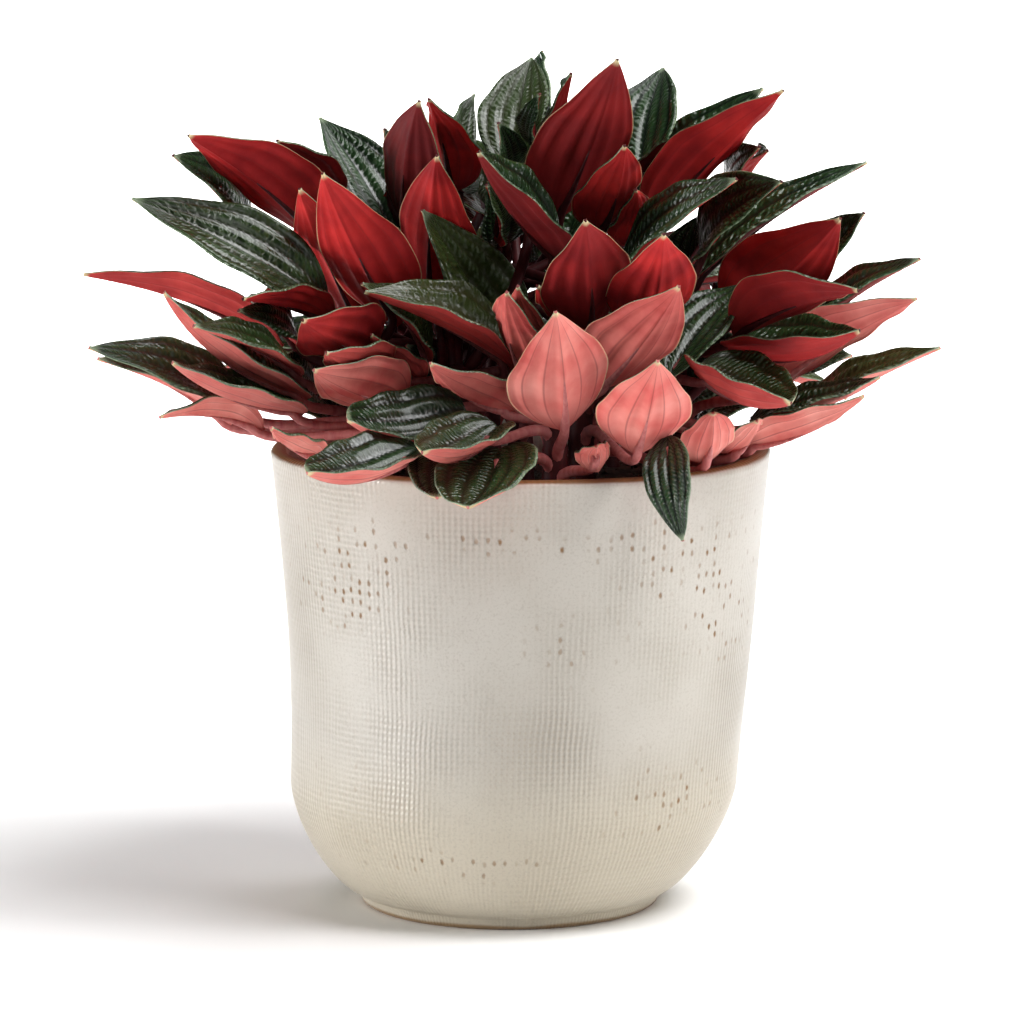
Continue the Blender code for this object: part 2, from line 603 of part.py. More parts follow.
def clear_stalk(thicket, blade, index, places, grown):
    """Stalk that touches nothing but its own blade and stem.

    The least bend and the nearest stem are tried first. Where nothing is clear, the stalk may cross the
    other stalks of its own stem, and then its blades too, which it is fused to.
    """
    base = blade.base
    counts = Counter(stalk.stem for stalk in grown.values())

    def distance(stem):
        return math.hypot(places[stem][0] - base[0] * STEM_PULL, places[stem][1] - base[1] * STEM_PULL)

    free = [stem for stem in range(len(places)) if counts[stem] < LEAVES_PER_STEM]
    nearest = sorted(free, key=distance)[:STEMS_TRIED]
    faces = tube_faces(STALK_STEPS + 1, STALK_SIDES)
    for fused in ((), ("stalk",), ("stalk", "blade")):
        for size in BEND_SIZES:
            for stem in nearest:
                x, y = places[stem]
                outward = unit(np.array((base[0] - x, base[1] - y, 0.0)))
                height = FIRST_NODE + NODE_SPACING * counts[stem]
                root = np.array((x, y, height)) + outward * ROOT_OFFSET
                own = {f"blade {index}", f"stem {stem}"}
                mates = [other for other, stalk in grown.items() if stalk.stem == stem]
                own |= {f"{kind} {other}" for kind in fused for other in mates}
                bends = stalk_bends(size)
                lines = stalk_lines(blade, root, bends, STALK_STEPS)
                tubes = tube_corners(lines, STALK_RADIUS + CLEARANCE, STALK_SIDES)
                for number, tube in enumerate(tubes):
                    if not thicket.touched(tube, faces, own):
                        corners = tube_corners(lines[number:number + 1], STALK_RADIUS, STALK_SIDES)[0]
                        return Stalk(stem, root, bends[number], corners)
    return None


def grow_stalks(thicket, blades, places):
    """Stem and stalk for each blade, the lowest first. A blade with no clear way is left out."""
    for number, place in enumerate(places):
        top = stem_top(LEAVES_PER_STEM)
        thicket.add(f"stem {number}", *stem_mesh(place, STEM_BOTTOM, STEM_RADIUS, top, STEM_TOP_RADIUS))
    grown = {}
    for index in sorted(range(len(blades)), key=lambda number: blades[number].base[2]):
        stalk = clear_stalk(thicket, blades[index], index, places, grown)
        if stalk is not None:
            grown[index] = stalk
            thicket.add(f"stalk {index}", stalk.corners, tube_faces(STALK_STEPS + 1, STALK_SIDES))
    return grown


def fill_shade(thicket, blades, places, grown):
    """Shade leaves added to the blades and stalks, each in the first place where its stalk finds a way."""
    for leaf in SHADE_LEAVES:
        index = len(blades)
        open_places = clear_blades(thicket, leaf, index)
        for blade in islice(open_places, 0, SHADE_PLACES * SHADE_STRIDE, SHADE_STRIDE):
            stalk = clear_stalk(thicket, blade, index, places, grown)
            if stalk is not None:
                blades.append(blade)
                grown[index] = stalk
                thicket.add(f"blade {index}", *blade_mesh(blade))
                thicket.add(f"stalk {index}", stalk.corners, tube_faces(STALK_STEPS + 1, STALK_SIDES))
                break


def stem_top(leaves):
    """Height of the top of a stem that carries so many leaves."""
    return FIRST_NODE + NODE_SPACING * leaves + 1.0


def stem_mesh(place, bottom, bottom_radius, top, top_radius):
    """Corners and triangles of an upright tapered stem, or of the hole that one stands in."""
    angle = math.tau * np.arange(STEM_SIDES) / STEM_SIDES
    circle = np.column_stack((np.cos(angle), np.sin(angle), np.zeros(STEM_SIDES)))
    low = circle * bottom_radius + (*place, bottom)
    high = circle * top_radius + (*place, top)
    return np.vstack((low, high)), tube_faces(2, STEM_SIDES)


def solid(name, corners, triangles, materials, tops=0):
    """Object from millimetre corners and triangles. The faces of the first tops corners take slot 1."""
    bm = bmesh.new()
    made = [bm.verts.new(corner * MM) for corner in corners]
    for face in triangles:
        polygon = bm.faces.new([made[corner] for corner in face])
        polygon.material_index = 1 if max(face) < tops else 0
    return new_object(name, bm, materials)


def joined(name, pieces):
    """One body from overlapping pieces, by one Boolean union on a collection."""
    group = bpy.data.collections.new(name + " pieces")
    first = pieces[0]
    for piece in pieces[1:]:
        bpy.context.scene.collection.objects.unlink(piece)
        group.objects.link(piece)
    union = first.modifiers.new("union", "BOOLEAN")
    union.operation = "UNION"
    union.operand_type = "COLLECTION"
    union.collection = group
    union.solver = "EXACT"
    view = bpy.context.evaluated_depsgraph_get()
    mesh = bpy.data.meshes.new_from_object(first.evaluated_get(view))
    first.modifiers.clear()
    first.data = mesh
    first.name = name
    mesh.name = name
    for piece in list(group.objects):
        bpy.data.objects.remove(piece)
    bpy.data.collections.remove(group)
    keep_outer_body(mesh)
    return first


def keep_outer_body(mesh):
    """Drop every separate shell but the largest, so that hollows are filled and scraps go."""
    bm = bmesh.new()
    bm.from_mesh(mesh)
    bmesh.ops.triangulate(bm, faces=bm.faces)
    bmesh.ops.dissolve_degenerate(bm, dist=0.000001, edges=bm.edges)
    waiting = set(bm.verts)
    shells = []
    while waiting:
        shell = [waiting.pop()]
        for vertex in shell:
            for edge in vertex.link_edges:
                other = edge.other_vert(vertex)
                if other in waiting:
                    waiting.discard(other)
                    shell.append(other)
        shells.append(shell)
    shells.sort(key=len)
    for shell in shells[:-1]:
        bmesh.ops.delete(bm, geom=shell, context="VERTS")
    bm.to_mesh(mesh)
    bm.free()


def build_pot():
    """Turned stoneware pot."""
    glaze = material("pot glaze", (0.78, 0.74, 0.68), 0.35)
    return turned("pot", pot_profile(), [glaze])


def build_soil(places):
    """Soil mound that fills the pot, with a plain hole for each stem."""
    earth = material("potting soil", (0.045, 0.03, 0.02), 0.95)
    soil = turned("soil", soil_profile(), [earth])
    holes = bpy.data.collections.new("stem holes")
    for place in places:
        wide = STEM_RADIUS + HOLE_GAP
        corners, triangles = stem_mesh(place, STEM_BOTTOM - GAP, wide, SOIL_CROWN + HOLE_REACH, wide)
        cutter = solid("stem hole", corners, triangles, [])
        bpy.context.scene.collection.objects.unlink(cutter)
        holes.objects.link(cutter)
        cutter.hide_render = True
        cutter.display_type = "WIRE"
    cut = soil.modifiers.new("stem holes", "BOOLEAN")
    cut.operation = "DIFFERENCE"
    cut.operand_type = "COLLECTION"
    cut.collection = holes
    view = bpy.context.evaluated_depsgraph_get()
    mesh = bpy.data.meshes.new_from_object(soil.evaluated_get(view))
    soil.modifiers.clear()
    soil.data = mesh
    for cutter in list(holes.objects):
        bpy.data.objects.remove(cutter)
    bpy.data.collections.remove(holes)
    return soil


def place_leaves():
    """Blades, and each one's stem and stalk, all clear of the pot, the soil and each other."""
    thicket = Thicket()
    for name in ("pot", "soil"):
        mesh = bpy.data.objects[name].data
        corners = np.array([vertex.co for vertex in mesh.vertices]) / MM
        thicket.add(name, corners, [tuple(face.vertices) for face in mesh.polygons])
    blades = place_blades(thicket)
    places = stem_places()
    grown = grow_stalks(thicket, blades, places)
    fill_shade(thicket, blades, places, grown)
    return blades, places, grown


def build_stems(blades, places, grown):
    """One node for each stem, with its leaves fused to it."""
    stalk_red = material("stalk and leaf back", (0.52, 0.06, 0.08), 0.4)
    leaf_green = material("leaf top", (0.04, 0.11, 0.05), 0.35)
    materials = [stalk_red, leaf_green]
    stalk_faces = tube_faces(STALK_STEPS + 1, STALK_SIDES)
    for number, place in enumerate(places):
        mine = {index: stalk for index, stalk in sorted(grown.items()) if stalk.stem == number}
        mesh = stem_mesh(place, STEM_BOTTOM, STEM_RADIUS, stem_top(len(mine)), STEM_TOP_RADIUS)
        pieces = [solid("stem", *mesh, materials)]
        for index, stalk in mine.items():
            corners, triangles = blade_mesh(blades[index])
            pieces.append(solid("blade", corners, triangles, materials, len(corners) // 2))
            pieces.append(solid("stalk", stalk.corners, stalk_faces, materials))
        joined(f"leafy_stem_{number + 1:02d}", pieces)


def main():
    """Build the whole plant in its pot."""
    for thing in list(bpy.data.objects):
        bpy.data.objects.remove(thing)
    build_pot()
    build_soil(stem_places())
    blades, places, grown = place_leaves()
    build_stems(blades, places, grown)
    print("leaves", len(blades), "with stalks", len(grown))


main()
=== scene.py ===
# %% [markdown]
# # A ripple peperomia in a stoneware pot
#
# This lesson dresses a plain solid model of a potted plant. The solid model gives the size and the place
# of every piece. Each piece is then made again here as a finer surface, with a material that is worked
# out from what the real one is made of.
#
# The plant is the red-backed form of the ripple peperomia. Its leaves are thick, folded like a keel and
# pleated along their veins. Their tops are dark green with a silver gloss, and their backs are red.

# %% Load the solid model
import math
import random
from collections import Counter, namedtuple
from functools import lru_cache
from itertools import islice

import bpy
import numpy as np
from mathutils.bvhtree import BVHTree
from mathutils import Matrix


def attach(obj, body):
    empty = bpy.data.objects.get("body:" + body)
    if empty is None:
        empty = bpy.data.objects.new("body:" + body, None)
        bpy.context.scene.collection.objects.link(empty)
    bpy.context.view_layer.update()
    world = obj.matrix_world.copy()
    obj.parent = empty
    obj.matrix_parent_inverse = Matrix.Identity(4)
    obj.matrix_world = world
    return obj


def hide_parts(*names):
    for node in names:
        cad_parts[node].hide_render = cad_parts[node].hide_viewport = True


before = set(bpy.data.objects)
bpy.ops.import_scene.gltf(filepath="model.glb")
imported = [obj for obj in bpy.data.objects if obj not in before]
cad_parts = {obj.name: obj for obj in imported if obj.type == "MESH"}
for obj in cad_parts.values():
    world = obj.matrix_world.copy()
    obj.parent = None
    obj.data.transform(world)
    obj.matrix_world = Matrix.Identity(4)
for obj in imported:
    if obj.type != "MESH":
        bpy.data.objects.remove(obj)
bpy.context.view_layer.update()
print("solids", sorted(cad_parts))

# %% [markdown]
# ## Small tools
#
# Colours are easiest to choose as hex values, the way that a paint program shows them. Blender works with
# linear light, so one function turns them. A second one adds a node to a material with its settings and
# its links. The last two turn a grid of points into a mesh, which is how every new surface here is made.

# %% Colours, nodes and grids
MM = 0.001
UP = np.array((0.0, 0.0, 1.0))


def linear(hex_colour):
    """Linear colour of an sRGB hex value: c / 12.92 up to 0.04045, else ((c + 0.055) / 1.055) ^ 2.4."""
    channels = np.array([int(hex_colour[start:start + 2], 16) for start in (1, 3, 5)]) / 255.0
    light = np.where(channels <= 0.04045, channels / 12.92, ((channels + 0.055) / 1.055) ** 2.4)
    return (*light.tolist(), 1.0)


def new_material(name, **sockets):
    """Material with one Principled shader, and its shader node. Spaces in socket names are underscores."""
    made = bpy.data.materials.new(name)
    made.use_nodes = True
    shader = made.node_tree.nodes["Principled BSDF"]
    for socket, value in sockets.items():
        shader.inputs[socket.replace("_", " ")].default_value = value
    return made, shader


def add_node(material, kind, inputs, output=0, **settings):
    """Add a node and return one of its outputs.

    Each input is a value or another node's output, and each setting is one of the node's options.
    """
    made = material.node_tree.nodes.new(kind)
    for name, value in settings.items():
        setattr(made, name, value)
    for socket, value in inputs.items():
        if isinstance(value, bpy.types.NodeSocket):
            material.node_tree.links.new(value, made.inputs[socket])
        else:
            made.inputs[socket].default_value = value
    return made.outputs[output]


def grid_faces(rows, columns):
    """Quads of a grid that closes round its columns, from its corner numbers."""
    corner = np.arange(rows * columns).reshape(rows, columns)
    after = np.roll(corner, -1, axis=1)
    return np.stack((corner[:-1], after[:-1], after[1:], corner[1:]), axis=-1).reshape(-1, 4)


def mesh_object(name, corners, faces, materials, slots=None, tables=None, caps=()):
    """Smooth object from millimetre corners and quads, with many-sided caps after them.

    slots holds one material number a quad, and tables one value a corner for each named attribute.
    """
    mesh = bpy.data.meshes.new(name)
    mesh.from_pydata((corners * MM).tolist(), [], faces.tolist() + [cap.tolist() for cap in caps])
    for finish in materials:
        mesh.materials.append(finish)
    if slots is not None:
        mesh.polygons.foreach_set("material_index", slots.astype(np.int32))
    for title, values in (tables or {}).items():
        layer = mesh.attributes.new(title, "FLOAT", "POINT")
        layer.data.foreach_set("value", values.astype(np.float32))
    mesh.shade_smooth()
    made = bpy.data.objects.new(name, mesh)
    bpy.context.scene.collection.objects.link(made)
    return made


print("pure red in linear light", linear("#FF0000"))

# %% [markdown]
# ## The camera
#
# The picture was taken from a little above the rim, from far enough away that near and far leaves are
# almost the same size. The camera comes first here, because the leaves that the picture shows are placed
# by where their tips and bases are seen in it.

# %% Place the camera
CAMERA = np.array((0.6, -1700.0, 382.5))
CAMERA_AIM_HEIGHT = 110.4
PIXELS_PER_RADIAN = 6150.0
PICTURE_CENTRE = 512.0
PICTURE_WIDTH = 1024.0
SENSOR = 36.0
PITCH = math.atan2(CAMERA[2] - CAMERA_AIM_HEIGHT, -CAMERA[1])

view = bpy.data.cameras.new("camera")
view.sensor_width = SENSOR
view.lens = PIXELS_PER_RADIAN / PICTURE_WIDTH * SENSOR
view.clip_end = 100.0
camera = bpy.data.objects.new("camera", view)
camera.location = (CAMERA * MM).tolist()
camera.rotation_euler = (math.pi / 2.0 - PITCH, 0.0, 0.0)
bpy.context.scene.collection.objects.link(camera)
bpy.context.scene.camera = camera
print("lens", round(view.lens, 1), "mm, looking down", round(math.degrees(PITCH), 2), "degrees")

# %% [markdown]
# ## The pot's shape
#
# A stoneware pot like this is pressed or turned, so its wall is one profile carried round a middle line.
# A lathe tool could spin it, but a formula for radius against height is as short and gives clean rows of
# corners. The middle line leans a little, as on the real pot. The lip dips and rises by a fraction of a
# millimetre, because clay moves as it dries.

# %% Pot profile
RIM_RADIUS = 70.0
POT_HEIGHT = 130.0
FOOT_RADIUS = 41.3
FOOT_TOP_RADIUS = 43.0
FOOT_HEIGHT = 3.6
BELLY_RADIUS = 62.8
BELLY_HEIGHT = 34.5
BELLY_POWER = 1.45
FLARE_POWER = 1.4
WALL = 5.0
LIP = WALL / 2.0
FLOOR = 12.0
FLOOR_RADIUS = 44.0
SWAY = 3.0
SWAY_TOP = 85.0
POT_COLUMNS = 192
LIP_ROWS = 9
LIP_WAVER = 0.25
FOOT_CHAMFER = 0.7


def pot_outer_radius(height):
    """Outer radius: a foot that widens upward, a quarter superellipse to the belly, a flare by a power."""
    height = np.asarray(height, dtype=float)
    foot = FOOT_RADIUS + (FOOT_TOP_RADIUS - FOOT_RADIUS) * height / FOOT_HEIGHT
    below = np.clip((BELLY_HEIGHT - height) / (BELLY_HEIGHT - FOOT_HEIGHT), 0.0, 1.0)
    reach = (1.0 - below ** BELLY_POWER) ** (1.0 / BELLY_POWER)
    belly = FOOT_TOP_RADIUS + (BELLY_RADIUS - FOOT_TOP_RADIUS) * reach
    above = np.clip((height - BELLY_HEIGHT) / (POT_HEIGHT - BELLY_HEIGHT), 0.0, 1.0)
    flare = BELLY_RADIUS + (RIM_RADIUS - BELLY_RADIUS) * above ** FLARE_POWER
    return np.select((height <= FOOT_HEIGHT, height <= BELLY_HEIGHT), (foot, belly), flare)


def pot_inner_radius(height):
    """Inner radius: a quarter ellipse from the floor to the belly's height, then one wall inside."""
    height = np.asarray(height, dtype=float)
    below = np.clip((BELLY_HEIGHT - height) / (BELLY_HEIGHT - FLOOR), 0.0, 1.0)
    corner = FLOOR_RADIUS + (BELLY_RADIUS - WALL - FLOOR_RADIUS) * np.sqrt(1.0 - below ** 2.0)
    return np.where(height <= BELLY_HEIGHT, corner, pot_outer_radius(height) - WALL)


def sway(height):
    """How far the middle line stands to +X at a height, an eased step up to SWAY_TOP."""
    part = np.clip(np.asarray(height, dtype=float) / SWAY_TOP, 0.0, 1.0)
    return SWAY * part * part * (3.0 - 2.0 * part)


def eased(low, high, count):
    """Values from low to high, closer together near both ends: low + (high - low)(1 - cos t) / 2."""
    return low + (high - low) * (1.0 - np.cos(np.linspace(0.0, math.pi, count))) / 2.0


def revolved(radius, height, columns):
    """Corners of a profile carried round the swayed middle line: (r cos a + sway(h), r sin a, h)."""
    angle = math.tau * np.arange(columns) / columns
    x = radius[:, None] * np.cos(angle) + sway(height)[:, None]
    y = radius[:, None] * np.sin(angle)
    z = np.repeat(height[:, None], columns, axis=1)
    return np.stack((x, y, z), axis=-1)


foot_heights = np.linspace(FOOT_CHAMFER, FOOT_HEIGHT, 5)[:-1]
belly_heights = FOOT_HEIGHT + (BELLY_HEIGHT - FOOT_HEIGHT) * np.linspace(0.0, 1.0, 26) ** 1.8
wall_heights = np.linspace(BELLY_HEIGHT, POT_HEIGHT - LIP, 36)[1:]
inside_heights = eased(POT_HEIGHT - LIP, FLOOR, 30)
lip_angle = np.linspace(0.0, math.pi, LIP_ROWS + 2)[1:-1]
pot_radius = np.concatenate((
    (0.01, FOOT_RADIUS * 0.5, FOOT_RADIUS - FOOT_CHAMFER),
    pot_outer_radius(foot_heights),
    pot_outer_radius(belly_heights),
    pot_outer_radius(wall_heights),
    RIM_RADIUS - LIP + LIP * np.cos(lip_angle),
    pot_inner_radius(inside_heights),
    (FLOOR_RADIUS * 0.5, 0.01),
))
pot_height = np.concatenate((
    (0.0, 0.0, 0.0),
    foot_heights,
    belly_heights,
    wall_heights,
    POT_HEIGHT - LIP + LIP * np.sin(lip_angle),
    inside_heights,
    (FLOOR, FLOOR),
))
print("pot rows", len(pot_height), "columns", POT_COLUMNS)

# %% [markdown]
# ## Stoneware glaze
#
# The glaze is an off-white stoneware glaze over a pressed burlap print. Stoneware glaze is glass melted
# on clay, with an index of refraction near 1.5. It is smooth but not a mirror here, because it is thin
# over the print. It pulls away from sharp edges and from the pits between threads, so the brown body
# shows there and along the lip. The thread spacing is about 1.7 mm and the pits stand on about every
# second crossing. The print is drawn with waves along the wall and round it, so it needs no picture.

# %% Glaze material
THREADS_ROUND = 264.0
THREAD_SPACING = 1.7
PITS_ROUND = 128.0
PIT_SPACING = 3.5
# Patches where the pits are open, as seen from the front: sideways place, height, half width, half height
# and strength, in millimetres
PIT_PATCHES = (
    (-40.0, 104.0, 15.0, 11.0, 0.85),
    (-47.0, 92.0, 10.0, 7.0, 0.75),
    (6.0, 112.0, 26.0, 3.5, 0.9),
    (48.0, 104.0, 18.0, 13.0, 0.8),
    (58.0, 86.0, 8.0, 12.0, 0.7),
    (16.0, 84.0, 14.0, 12.0, 0.35),
    (44.0, 38.0, 15.0, 12.0, 0.7),
    (-10.0, 22.0, 30.0, 5.0, 0.6),
    (-46.0, 44.0, 10.0, 14.0, 0.35),
)
BACK_PATCHES = 9
# What a patch at the back is drawn between: turn, height, half width, half height and strength
BACK_RANGES = ((0.15, math.pi - 0.15), (25.0, 112.0), (0.12, 0.3), (6.0, 14.0), (0.4, 0.85))
PIT_SEED = 31
FRONT_FADE = 20.0


def pit_strength(points):
    """How open the glaze is at each corner: a sum of soft oval patches, some placed and some drawn."""
    draw = random.Random(PIT_SEED)
    x = points[..., 0]
    height = points[..., 2]
    front = np.clip(-points[..., 1] / FRONT_FADE, 0.0, 1.0)
    total = np.zeros(x.shape)
    for across, up, wide, tall, strength in PIT_PATCHES:
        total += strength * front * np.exp(-((x - across) / wide) ** 2 - ((height - up) / tall) ** 2)
    angle = np.arctan2(points[..., 1], x)
    for _ in range(BACK_PATCHES):
        turn, up, wide, tall, strength = [draw.uniform(*ends) for ends in BACK_RANGES]
        total += strength * np.exp(-((angle - turn) / wide) ** 2 - ((height - up) / tall) ** 2)
    return np.clip(total, 0.0, 1.0)


glaze, glaze_shader = new_material("stoneware glaze", Roughness=0.36, IOR=1.5)
place = add_node(glaze, "ShaderNodeTexCoord", {}, output="Object")
wrap = add_node(glaze, "ShaderNodeUVMap", {}, uv_map="wrap")
pit_zone = add_node(glaze, "ShaderNodeAttribute", {}, output="Fac", attribute_name="pit_zone")
around = add_node(glaze, "ShaderNodeSeparateXYZ", {"Vector": wrap}, output="X")
upward = add_node(glaze, "ShaderNodeSeparateXYZ", {"Vector": wrap}, output="Y")
print("pits on the wall", int(PITS_ROUND * POT_HEIGHT / PIT_SPACING), "at most")

# %% [markdown]
# The threads of the burlap are two sets of waves, one along the wall and one round it. Slow noise bends
# and fades them, because cloth is never quite even and the glaze fills it more in some places. A thread
# counter multiplied by tau gives the phase of each wave.

# %% Burlap print
drift = add_node(glaze, "ShaderNodeTexNoise", {"Vector": place, "Scale": 60.0, "Detail": 1.0})
drift = add_node(glaze, "ShaderNodeMath", {0: drift, 1: 5.0}, operation="MULTIPLY")
warp = {0: around, 1: THREADS_ROUND * math.tau, 2: drift}
warp = add_node(glaze, "ShaderNodeMath", warp, operation="MULTIPLY_ADD")
warp = add_node(glaze, "ShaderNodeMath", {0: warp}, operation="SINE")
weft = {0: upward, 1: math.tau / THREAD_SPACING, 2: drift}
weft = add_node(glaze, "ShaderNodeMath", weft, operation="MULTIPLY_ADD")
weft = add_node(glaze, "ShaderNodeMath", {0: weft}, operation="SINE")
threads = add_node(glaze, "ShaderNodeMath", {0: weft, 1: 0.7, 2: warp}, operation="MULTIPLY_ADD")
fade = add_node(glaze, "ShaderNodeTexNoise", {"Vector": place, "Scale": 28.0, "Detail": 3.0})
fade = add_node(glaze, "ShaderNodeMapRange", {"Value": fade, "From Min": 0.36, "From Max": 0.62})
threads = add_node(glaze, "ShaderNodeMath", {0: threads, 1: fade}, operation="MULTIPLY")

# %% [markdown]
# Pits stand on a coarser grid of cells. Each cell draws one random number, and it has a pit where the
# number is under the strength of the zone painted on the mesh. The pit itself is a small upright oval.
# Its middle moves a little from cell to cell, so that the rows look pressed and not printed.

# %% Pits
cell_across = add_node(glaze, "ShaderNodeMath", {0: around, 1: PITS_ROUND}, operation="MULTIPLY")
cell_up = add_node(glaze, "ShaderNodeMath", {0: upward, 1: 1.0 / PIT_SPACING}, operation="MULTIPLY")
column = add_node(glaze, "ShaderNodeMath", {0: cell_across}, operation="FLOOR")
row = add_node(glaze, "ShaderNodeMath", {0: cell_up}, operation="FLOOR")
cell = add_node(glaze, "ShaderNodeCombineXYZ", {"X": column, "Y": row, "Z": 0.5})
chance = add_node(glaze, "ShaderNodeTexWhiteNoise", {"Vector": cell}, noise_dimensions="3D")
jitter = add_node(glaze, "ShaderNodeTexWhiteNoise", {"Vector": cell}, output="Color", noise_dimensions="3D")
jitter = add_node(glaze, "ShaderNodeVectorMath", {0: jitter, 1: (0.4, 0.4, 0.0)}, operation="MULTIPLY")
inside = add_node(glaze, "ShaderNodeCombineXYZ", {"X": cell_across, "Y": cell_up, "Z": 0.5})
inside = add_node(glaze, "ShaderNodeVectorMath", {0: inside, 1: cell}, operation="SUBTRACT")
inside = add_node(glaze, "ShaderNodeVectorMath", {0: inside, 1: jitter}, operation="SUBTRACT")
inside = add_node(glaze, "ShaderNodeVectorMath", {0: inside, 1: (0.3, 0.3, 0.0)}, operation="SUBTRACT")
inside = add_node(glaze, "ShaderNodeVectorMath", {0: inside, 1: (1.25, 0.85, 0.0)}, operation="MULTIPLY")
away = add_node(glaze, "ShaderNodeVectorMath", {0: inside}, output="Value", operation="LENGTH")
ragged = add_node(glaze, "ShaderNodeTexNoise", {"Vector": place, "Scale": 900.0, "Detail": 1.0})
away = add_node(glaze, "ShaderNodeMath", {0: ragged, 1: 0.22, 2: away}, operation="MULTIPLY_ADD")
pit = {"Value": away, "From Min": 0.18, "From Max": 0.42, "To Min": 1.0, "To Max": 0.0}
pit = add_node(glaze, "ShaderNodeMapRange", pit, interpolation_type="SMOOTHSTEP")
wanted = add_node(glaze, "ShaderNodeMath", {0: pit_zone, 1: chance}, operation="SUBTRACT")
wanted = {"Value": wanted, "From Min": 0.0, "From Max": 0.55}
wanted = add_node(glaze, "ShaderNodeMapRange", wanted)
pit = add_node(glaze, "ShaderNodeMath", {0: pit, 1: wanted}, operation="MULTIPLY")

# %% [markdown]
# The body colour drifts between a cool white, a warm grey and a cream. The brown of the bare body breaks
# through in the pits, in a thin line on the lip and on the foot. Fine speckle is iron in the clay.

# %% Glaze colours
clouds = add_node(glaze, "ShaderNodeTexNoise", {"Vector": place, "Scale": 14.0, "Detail": 4.0})
clouds = add_node(glaze, "ShaderNodeMapRange", {"Value": clouds, "From Min": 0.35, "From Max": 0.65})
inputs = {0: clouds, 6: linear("#C2BDB4"), 7: linear("#ABA498")}
colour = add_node(glaze, "ShaderNodeMix", inputs, output=2, data_type="RGBA")
creamy = {"Value": upward, "From Min": 58.0, "From Max": 24.0, "To Min": 0.0, "To Max": 0.55}
creamy = add_node(glaze, "ShaderNodeMapRange", creamy, interpolation_type="SMOOTHSTEP")
between = {"Value": threads, "From Min": -0.2, "From Max": -1.9, "To Min": 0.0, "To Max": 0.45}
between = add_node(glaze, "ShaderNodeMapRange", between)
speckle = add_node(glaze, "ShaderNodeTexNoise", {"Vector": place, "Scale": 1600.0, "Detail": 2.0})
speckle = {"Value": speckle, "From Min": 0.5, "From Max": 0.75, "To Min": 0.0, "To Max": 0.4}
speckle = add_node(glaze, "ShaderNodeMapRange", speckle)
edge_waver = add_node(glaze, "ShaderNodeTexNoise", {"Vector": place, "Scale": 45.0, "Detail": 2.0})
edge_height = add_node(glaze, "ShaderNodeMath", {0: edge_waver, 1: 1.6, 2: upward}, operation="MULTIPLY_ADD")
lip_line = {"Value": edge_height, "From Min": POT_HEIGHT - 0.5, "From Max": POT_HEIGHT + 0.2}
lip_line = add_node(glaze, "ShaderNodeMapRange", lip_line, interpolation_type="SMOOTHSTEP")
foot_line = {"Value": edge_height, "From Min": 2.6, "From Max": 1.5, "To Min": 0.0, "To Max": 0.9}
foot_line = add_node(glaze, "ShaderNodeMapRange", foot_line, interpolation_type="SMOOTHSTEP")
layers = (
    (creamy, "#C3B8A0"),
    (between, "#A89C8A"),
    (speckle, "#9D9488"),
    (pit, "#80613F"),
    (lip_line, "#7C5B3A"),
    (foot_line, "#8F714D"),
)
for cover, paint in layers:
    inputs = {0: cover, 6: colour, 7: linear(paint)}
    colour = add_node(glaze, "ShaderNodeMix", inputs, output=2, data_type="RGBA")
glaze.node_tree.links.new(colour, glaze_shader.inputs["Base Color"])

rough = {"Value": pit, "From Min": 0.0, "From Max": 1.0, "To Min": 0.36, "To Max": 0.7}
rough = add_node(glaze, "ShaderNodeMapRange", rough)
glaze.node_tree.links.new(rough, glaze_shader.inputs["Roughness"])
relief = add_node(glaze, "ShaderNodeMath", {0: pit, 1: -2.2, 2: threads}, operation="MULTIPLY_ADD")
bump = {"Height": relief, "Strength": 0.45, "Distance": 0.0002}
bump = add_node(glaze, "ShaderNodeBump", bump)
glaze.node_tree.links.new(bump, glaze_shader.inputs["Normal"])
print("glaze nodes", len(glaze.node_tree.nodes))

# %% [markdown]
# ## The pot
#
# The grid of the pot closes round its columns. Its first and last rows are tiny rings in the middle of
# the underside and of the floor, filled with one face each. The UV map holds the part of a turn and the
# height in millimetres, so that the burlap keeps its real spacing all the way up.

# %% Build the pot
pot_points = revolved(pot_radius, pot_height, POT_COLUMNS)
pot_turn = math.tau * np.arange(POT_COLUMNS) / POT_COLUMNS
waver = LIP_WAVER * (np.sin(3.0 * pot_turn + 0.6) + 0.6 * np.sin(5.0 * pot_turn + 2.0))
near_lip = np.clip((pot_height - 0.8 * POT_HEIGHT) / (0.2 * POT_HEIGHT), 0.0, 1.0) ** 2.0
pot_points[..., 2] += near_lip[:, None] * (waver - waver.max())
pot_faces = grid_faces(len(pot_height), POT_COLUMNS)
pot_caps = np.arange(POT_COLUMNS)
stoneware_pot = mesh_object(
    "stoneware_pot", pot_points.reshape(-1, 3), pot_faces, [glaze],
    tables={"pit_zone": pit_strength(pot_points).ravel()},
    caps=[pot_caps[::-1], pot_caps + (len(pot_height) - 1) * POT_COLUMNS])


def paint_wrap(thing, rows, columns, height):
    """UV map "wrap" of a revolved grid: part of a turn, and height in millimetres, for each face corner."""
    column = np.arange(columns)
    turns = np.stack((column, column + 1, column + 1, column), axis=-1) / columns
    turns = np.broadcast_to(turns, (rows - 1, columns, 4))
    heights = np.stack((height[:-1], height[:-1], height[1:], height[1:]), axis=-1)
    heights = np.broadcast_to(heights[:, None], (rows - 1, columns, 4))
    pairs = np.stack((turns, heights), axis=-1).reshape(-1, 2)
    layer = thing.data.uv_layers.new(name="wrap")
    values = np.zeros((len(thing.data.loops), 2), dtype=np.float32)
    values[:len(pairs)] = pairs
    layer.data.foreach_set("uv", values.ravel())


